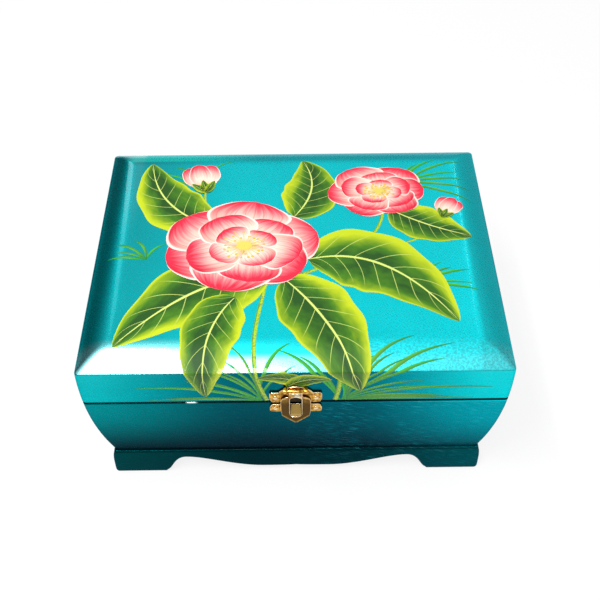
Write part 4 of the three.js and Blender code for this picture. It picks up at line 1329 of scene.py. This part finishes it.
blossoms = (                                          # centre, radius, turn, how far it is tipped
    ((-0.030, 0.092), 0.046, 0.30, 0.84),
    ((0.054, 0.142), 0.031, 1.05, 0.80),
)
tiers = (                                             # petals, reach, width, turn
    (6, 1.00, 0.52, 0.0),
    (5, 0.74, 0.54, 0.5),
    (4, 0.46, 0.54, 0.2),
)
buds = (                                              # foot, where it points, length
    ((-0.056, 0.144), 1.80, 0.027),
    ((0.092, 0.118), 1.05, 0.019),
)


def petalWidth(half, seed):
    def width(s):
        body = math.sin(math.pi * s ** 1.35) ** 0.50
        return half * body * (1 + 0.05 * math.sin(11 * s + seed * 17)) + 0.0004
    return width


def heading(angle):
    return Vector((math.cos(angle), math.sin(angle)))


def petalRows(foot, angle, length, half, squeeze, seed):
    way = heading(angle)
    side = Vector((-way.y, way.x)) * length * 0.10 * math.sin(seed * 29)
    foot = Vector(foot)
    tip = foot + way * length
    steps = max(round(length / sprayLook["cell"]), 8)
    rows = ribbonRows((foot, foot + way * length * 0.55 + side, tip), petalWidth(half, seed), steps,
                      max(round(2 * half / sprayLook["cell"]), 6))
    return [[(Vector((p.x, foot.y + (p.y - foot.y) * squeeze)), u, v) for p, u, v in row] for row in rows]


def discRows(centre, radius, squeeze, rings=4, sides=16):
    rows = []
    for k in range(rings + 1):
        r = radius * (1 - 0.97 * k / rings)
        rows.append([(centre + Vector((x, y * squeeze)), k / rings, 0) for x, y in arc(r, 0, 1, sides)])
    return rows


def paintBlossoms(material):
    spray = Spray()
    step = sprayLook["petalStep"]
    for b, (centre, radius, turn, squeeze) in enumerate(blossoms):
        disc = discRows(Vector(centre), radius * 0.45, squeeze)
        spray.patch(disc, sprayLook["blossomLift"] - step, 0.5)
        for t, (count, reach, wide, offset) in enumerate(tiers):
            for i in range(count):
                seed = (b * 31 + t * 7 + i) / 37
                angle = turn + 2 * math.pi * (i + offset) / count + 0.10 * math.sin(seed * 53)
                length = radius * reach * (1 + 0.07 * math.sin(seed * 31))
                lift = sprayLook["blossomLift"] + (t * 3 + (i * 2) % 3) * step + i * step / 9
                spray.patch(petalRows(centre, angle, length, length * wide, squeeze, seed), lift, seed)
    for b, (foot, angle, length) in enumerate(buds):
        for i, lean in enumerate((-0.30, 0.30, 0.0)):
            seed = (b * 3 + i + 61) / 71
            rows = petalRows(foot, angle + lean, length * (1 - 0.12 * abs(lean)), length * 0.25, 1, seed)
            spray.patch(rows, sprayLook["blossomLift"] + i * step, seed)
    spray.lay("painted_blossoms", material)


def paintStamens(material):
    spray = Spray()
    draw = random.Random(5)
    look = sprayLook
    for centre, radius, _, squeeze in blossoms:
        lift = look["stamenLift"]
        middle = Vector(centre)
        spray.patch(discRows(middle, radius * 0.10, squeeze), lift, 0.4)
        for i in range(look["stamens"]):
            lift += look["stamenStep"]
            reach = radius * (0.12 + 0.20 * math.sqrt(i / look["stamens"])) * draw.uniform(0.85, 1.15)
            way = heading(i * look["stamenTurn"]) * reach
            tip = middle + Vector((way.x, way.y * squeeze))
            path = (middle * 0.72 + tip * 0.28, (middle + tip) / 2, tip)
            spray.patch(ribbonRows(path, lambda s: look["thread"], 4), lift, 0.2)
            anther = discRows(tip, look["anther"], squeeze, 3, 8)
            spray.patch(anther, lift + look["petalStep"], 0.9)
    spray.lay("painted_stamens", material)


def paintCalyxes(material):
    spray = Spray()
    for foot, angle, length in buds:
        for lean in (-0.62, 0.62, 0.0):
            way = heading(angle + lean) * length
            start = Vector(foot) - heading(angle) * length * 0.06
            rows = ribbonRows((start, start + way * 0.25, start + way * 0.46),
                              leafWidth(length * 0.10, 0.0, 1), 14, 4)
            spray.patch(rows, sprayLook["calyxLift"], 0.6)
    spray.lay("painted_calyxes", material)


ground = sprayLook["lowest"] + 0.0002
stems = (                                             # control points, half width at the foot and the tip
    (((0.022, ground), (0.030, 0.010), (0.020, 0.050), (-0.020, 0.080)), 0.0014, 0.0011),
    (((0.000, 0.066), (0.034, 0.080), (0.062, 0.104), (0.054, 0.138)), 0.0012, 0.0009),
    (((-0.016, ground), (-0.030, 0.014), (-0.018, 0.040), (-0.016, 0.070)), 0.0013, 0.0011),
    (((-0.036, 0.100), (-0.048, 0.112), (-0.058, 0.128), (-0.056, 0.144)), 0.0010, 0.0008),
    (((0.050, 0.088), (0.070, 0.094), (0.088, 0.102), (0.092, 0.118)), 0.0009, 0.0007),
)


def paintStems(material):
    spray = Spray()
    for i, (points, foot, tip) in enumerate(stems):
        rows = ribbonRows(points, lambda s: foot + (tip - foot) * s, 60, 4)
        spray.patch(rows, sprayLook["stemLift"] + i * sprayLook["stemStep"], i / 5)
    spray.lay("painted_stems", material)


tufts = (                                             # root, angle it leans to, spread, blades, length
    ((0.026, ground), 1.00, 1.00, 15, 0.056),
    ((-0.020, ground), 2.20, 0.95, 12, 0.048),
    ((-0.060, 0.150), 2.20, 1.10, 6, 0.030),
    ((0.070, 0.150), 0.60, 1.00, 7, 0.034),
    ((0.074, 0.060), 0.80, 1.00, 6, 0.026),
    ((-0.088, 0.082), 2.10, 0.90, 6, 0.022),
)


def bladeWidth(half):
    return lambda s: half * math.sin(math.pi * min(s * 0.93 + 0.07, 1)) ** 0.8 + 0.00008


def paintGrasses(material):
    spray = Spray()
    draw = random.Random(11)
    lift = sprayLook["grassLift"]
    for root, lean, spread, count, length in tufts:
        for i in range(count):
            angle = lean + spread * (2 * (i + 0.5) / count - 1) + draw.uniform(-0.08, 0.08)
            reach = length * draw.uniform(0.7, 1.15)
            start = Vector(root) + Vector((draw.uniform(-0.002, 0.002), 0))
            way = heading(angle)
            droop = Vector((math.copysign(0.35, way.x), -0.22)) * reach
            tip = start + way * reach + droop
            tip.y = max(tip.y, sprayLook["lowest"] + 0.001)
            tip.x = max(-sprayLook["reach"], min(tip.x, sprayLook["reach"]))
            knee = start + way * reach * 0.62
            rows = ribbonRows((start, knee, tip), bladeWidth(draw.uniform(0.0006, 0.0011)), 26, 2)
            lift += sprayLook["grassStep"]
            spray.patch(rows, lift, draw.random())
    spray.lay("painted_grasses", material)


paintLook = {
    "roughness": 0.45,
    "petal": (                                        # from a petal's foot to its tip
        (0.0, (0.66, 0.11, 0.08)), (0.14, (0.88, 0.40, 0.30)), (0.46, (0.94, 0.66, 0.54)),
        (0.68, (0.90, 0.44, 0.38)), (0.88, (0.82, 0.12, 0.15)), (1.0, (0.68, 0.020, 0.050))),
    "petalVein": (0.60, 0.04, 0.06),
    "petalRim": (0.95, 0.70, 0.62),
    "leaf": (                                         # from shade to light
        (0.0, (0.016, 0.070, 0.010)), (0.30, (0.050, 0.165, 0.010)),
        (0.58, (0.21, 0.33, 0.010)), (0.92, (0.44, 0.53, 0.012))),
    "leafVein": (0.50, 0.60, 0.14),
    "leafRib": (0.56, 0.66, 0.16),
    "leafRim": (0.46, 0.54, 0.02),
    "stem": (0.34, 0.52, 0.03),
    "stemEdge": (0.10, 0.26, 0.02),
    "stemSpeck": (0.10, 0.06, 0.01),
    "grass": (0.012, 0.36, 0.03),
    "grassDark": (0.012, 0.18, 0.040),
    "grassLight": (0.16, 0.46, 0.02),
    "thread": (0.62, 0.52, 0.10),
    "anther": (0.86, 0.56, 0.04),
    "antherFoot": (0.40, 0.16, 0.01),
}


def newPaint(name):                                   # with where a point is along, across and in which patch
    material, f = newFinish(name)
    return material, f, f.trait("along"), f.trait("across"), f.trait("seed")


def paintCoat(f, colour):
    f.surface({
        "Base Color": colour, "Roughness": paintLook["roughness"], "Specular IOR Level": 0.1,
        "Coat Weight": coatWeight(f, f.place()) * sprayLook["coat"],
        "Coat Roughness": lacquerLook["coatRoughness"], "Coat IOR": 1.5})


def petalFinish():
    material, f, u, v, seed = newPaint("petalPaint")
    brush = f.noise(f.vector(v * 5 + seed * 40, u * 0.8, seed * 13), 1.8, 4, 0.65)
    depth = u + (brush - 0.5) * 0.46 + abs(v) * 0.10 + (seed * 7).fraction() * 0.10
    veins = abs((v * 4.5 + (brush - 0.5) * 0.5).fraction() - 0.5)
    drawn = (1 - veins.rise(0.02, 0.10)) * 0.38 * u.rise(0.15, 0.6)
    colour = f.mix(f.ramp(depth, paintLook["petal"]), paintLook["petalVein"], drawn)
    shade = 1 - 0.42 * v.rise(0.30, 1.0) * (1 - u * 0.45) - 0.16 * (1 - u.rise(0.0, 0.35))
    rim = abs(v).rise(0.90, 0.95) * u.rise(0.10, 0.4)
    paintCoat(f, f.mix(colour * shade, paintLook["petalRim"], rim * 0.85))
    return material


def leafFinish():
    material, f, u, v, seed = newPaint("leafPaint")
    cloud = f.noise(f.vector(v * 1.3 + seed * 20, u * 3, seed * 7), 1.3, 3, 0.6)
    light = abs(v) * abs(v) * 0.70 + v.rise(-0.2, 0.9) * 0.34 + (cloud - 0.5) * 1.0
    fan = abs((u * 8 - abs(v) * 1.7 + seed).fraction() - 0.5)
    veins = (1 - fan.rise(0.008, 0.040)) * (1 - abs(v).rise(0.55, 0.93))
    colour = f.mix(f.ramp(light, paintLook["leaf"]), paintLook["leafVein"], veins * 0.75)
    colour = f.mix(colour, paintLook["leafRib"], 1 - abs(v).rise(0.018, 0.045))
    paintCoat(f, f.mix(colour, paintLook["leafRim"], abs(v).rise(0.91, 0.96) * 0.8))
    return material


def stemFinish():
    material, f, u, v, seed = newPaint("stemPaint")
    specks = f.noise(f.vector(v * 1.2, u * 60, seed * 9), 1.5, 2, 0.6).rise(0.52, 0.60)
    colour = f.mix(paintLook["stem"], paintLook["stemEdge"], abs(v + 0.2).rise(0.3, 1.0))
    paintCoat(f, f.mix(colour, paintLook["stemSpeck"], specks * 0.6))
    return material


def grassFinish():
    material, f, u, v, seed = newPaint("grassPaint")
    colour = f.mix(paintLook["grass"], paintLook["grassDark"], seed)
    colour = f.mix(colour, paintLook["grassLight"], (1 - abs(u - 0.5) * 2) * (0.25 + 0.4 * seed))
    paintCoat(f, colour * (0.85 + 0.3 * v))
    return material


def stamenFinish():
    material, f, u, _, seed = newPaint("stamenPaint")
    isAnther = seed.rise(0.4, 0.6)
    colour = f.mix(paintLook["thread"], paintLook["anther"], isAnther)
    paintCoat(f, f.mix(colour, paintLook["antherFoot"], (1 - u) * isAnther * 0.7))
    return material


leafPaint = leafFinish()
paintGrasses(grassFinish())
paintStems(stemFinish())
paintLeaves(leafPaint)
paintCalyxes(leafPaint)
paintBlossoms(petalFinish())
paintStamens(stamenFinish())
print("spray painted")


# Stage

stageLook = {
    "reach": 6.0,                                     # of the floor, from the box
    "floor": (0.86, 0.86, 0.86),
    "floorWhite": 0.84,
    "walls": 0.52,
    "upper": 0.26,                                    # what the upper walls add
    "ceiling": 0.40,                                  # and the ceiling
    "screen": 0.94,                                   # how dark a screen on the left is
}


def makeFloor():
    mesh = bpy.data.meshes.new("studio_floor")
    r = stageLook["reach"]
    mesh.from_pydata([(-r, -r, 0), (r, -r, 0), (r, r, 0), (-r, r, 0)], [], [(0, 1, 2, 3)])
    floor = bpy.data.objects.new("studio_floor", mesh)
    scene.collection.objects.link(floor)
    material, f = newFinish("paleFloor")
    direct, glossy, clear = (f.node("ShaderNodeLightPath", {}, {}, out)
                             for out in ("Is Camera Ray", "Is Glossy Ray", "Is Transmission Ray"))
    seen = f.larger(f.larger(direct, glossy), clear)
    pale = f.mix(stageLook["floor"], (0.9, 0.9, 0.9), f.noise(f.place(), 3, 2))
    diffuse = f.node("ShaderNodeBsdfDiffuse", {}, {"Color": pale})
    white = f.node("ShaderNodeEmission", {}, {"Color": (1, 1, 1), "Strength": 1.0})
    both = f.node("ShaderNodeMixShader", {}, {0: seen * stageLook["floorWhite"], 1: diffuse, 2: white})
    f.node("ShaderNodeOutputMaterial", {}, {"Surface": both})
    mesh.materials.append(material)


def makeWorld():
    world = bpy.data.worlds.new("studio")
    scene.world = world
    world.use_nodes = True
    f = Shading(world.node_tree)
    way = f.node("ShaderNodeTexCoord", {}, {}, "Generated")
    x, z = way.part("X"), way.part("Z")
    screen = x.rise(-0.20, -0.50) * (1 - z.rise(0.55, 0.80)) * stageLook["screen"]
    level = (stageLook["walls"] * (1 - screen) + stageLook["upper"] * z.rise(0.40, 0.70)
             + stageLook["ceiling"] * z.rise(0.78, 0.92))
    seen = f.node("ShaderNodeLightPath", {}, {}, "Is Camera Ray")
    white = f.mix(f.mix((0, 0, 0), (1, 1, 1), level), (1, 1, 1), seen)
    sky = f.node("ShaderNodeBackground", {}, {"Color": white, "Strength": 1.0})
    f.node("ShaderNodeOutputWorld", {}, {"Surface": sky})


lamps = (                                             # name, place, aim, size in metres, watts
    ("window", (-0.275, -0.23, 0.95), (-0.275, -0.23, 0), (0.07, 0.72), 6.9),
    ("pane", (-0.200, -0.38, 0.95), (-0.200, -0.38, 0), (0.05, 0.42), 2.2),
    ("bar", (-0.08, -0.655, 0.95), (-0.04, -0.10, 0.1), (0.09, 0.20), 1.4),
    ("panel", (-0.53, 0.91, 0.81), (0, 0, 0.1), (0.12, 0.5), 0.36),
    ("slit", (0.45, 0.86, 0.87), (0, 0, 0.1), (0.016, 0.5), 0.14),
)


def makeLamps():
    for name, place, aim, size, watts in lamps:
        data = bpy.data.lights.new(name, "AREA")
        data.shape = "RECTANGLE"
        data.size, data.size_y = size
        data.energy = watts
        light = bpy.data.objects.new(name, data)
        scene.collection.objects.link(light)
        light.location = place
        light.rotation_euler = (Vector(aim) - Vector(place)).to_track_quat("-Z", "Y").to_euler()


cameraLook = {
    "place": (0.001, -0.434, 0.519),
    "below": 46.5,                                    # degrees that it looks down
    "yaw": -0.3,
    "roll": -0.4,
    "lens": 59.04,
    "sensor": 36,
}


def makeCamera():
    data = bpy.data.cameras.new("photoCamera")
    data.sensor_width = cameraLook["sensor"]
    data.lens = cameraLook["lens"]
    camera = bpy.data.objects.new("photoCamera", data)
    scene.collection.objects.link(camera)
    yaw, pitch, roll = (math.radians(v) for v in (
        cameraLook["yaw"], 90 - cameraLook["below"], cameraLook["roll"]))
    camera.matrix_world = (Matrix.Translation(cameraLook["place"]) @ Matrix.Rotation(yaw, 4, "Z")
                           @ Matrix.Rotation(pitch, 4, "X") @ Matrix.Rotation(roll, 4, "Z"))
    scene.camera = camera


makeFloor()
makeWorld()
makeLamps()
makeCamera()
scene.view_settings.view_transform = "Standard"
print("stage made")
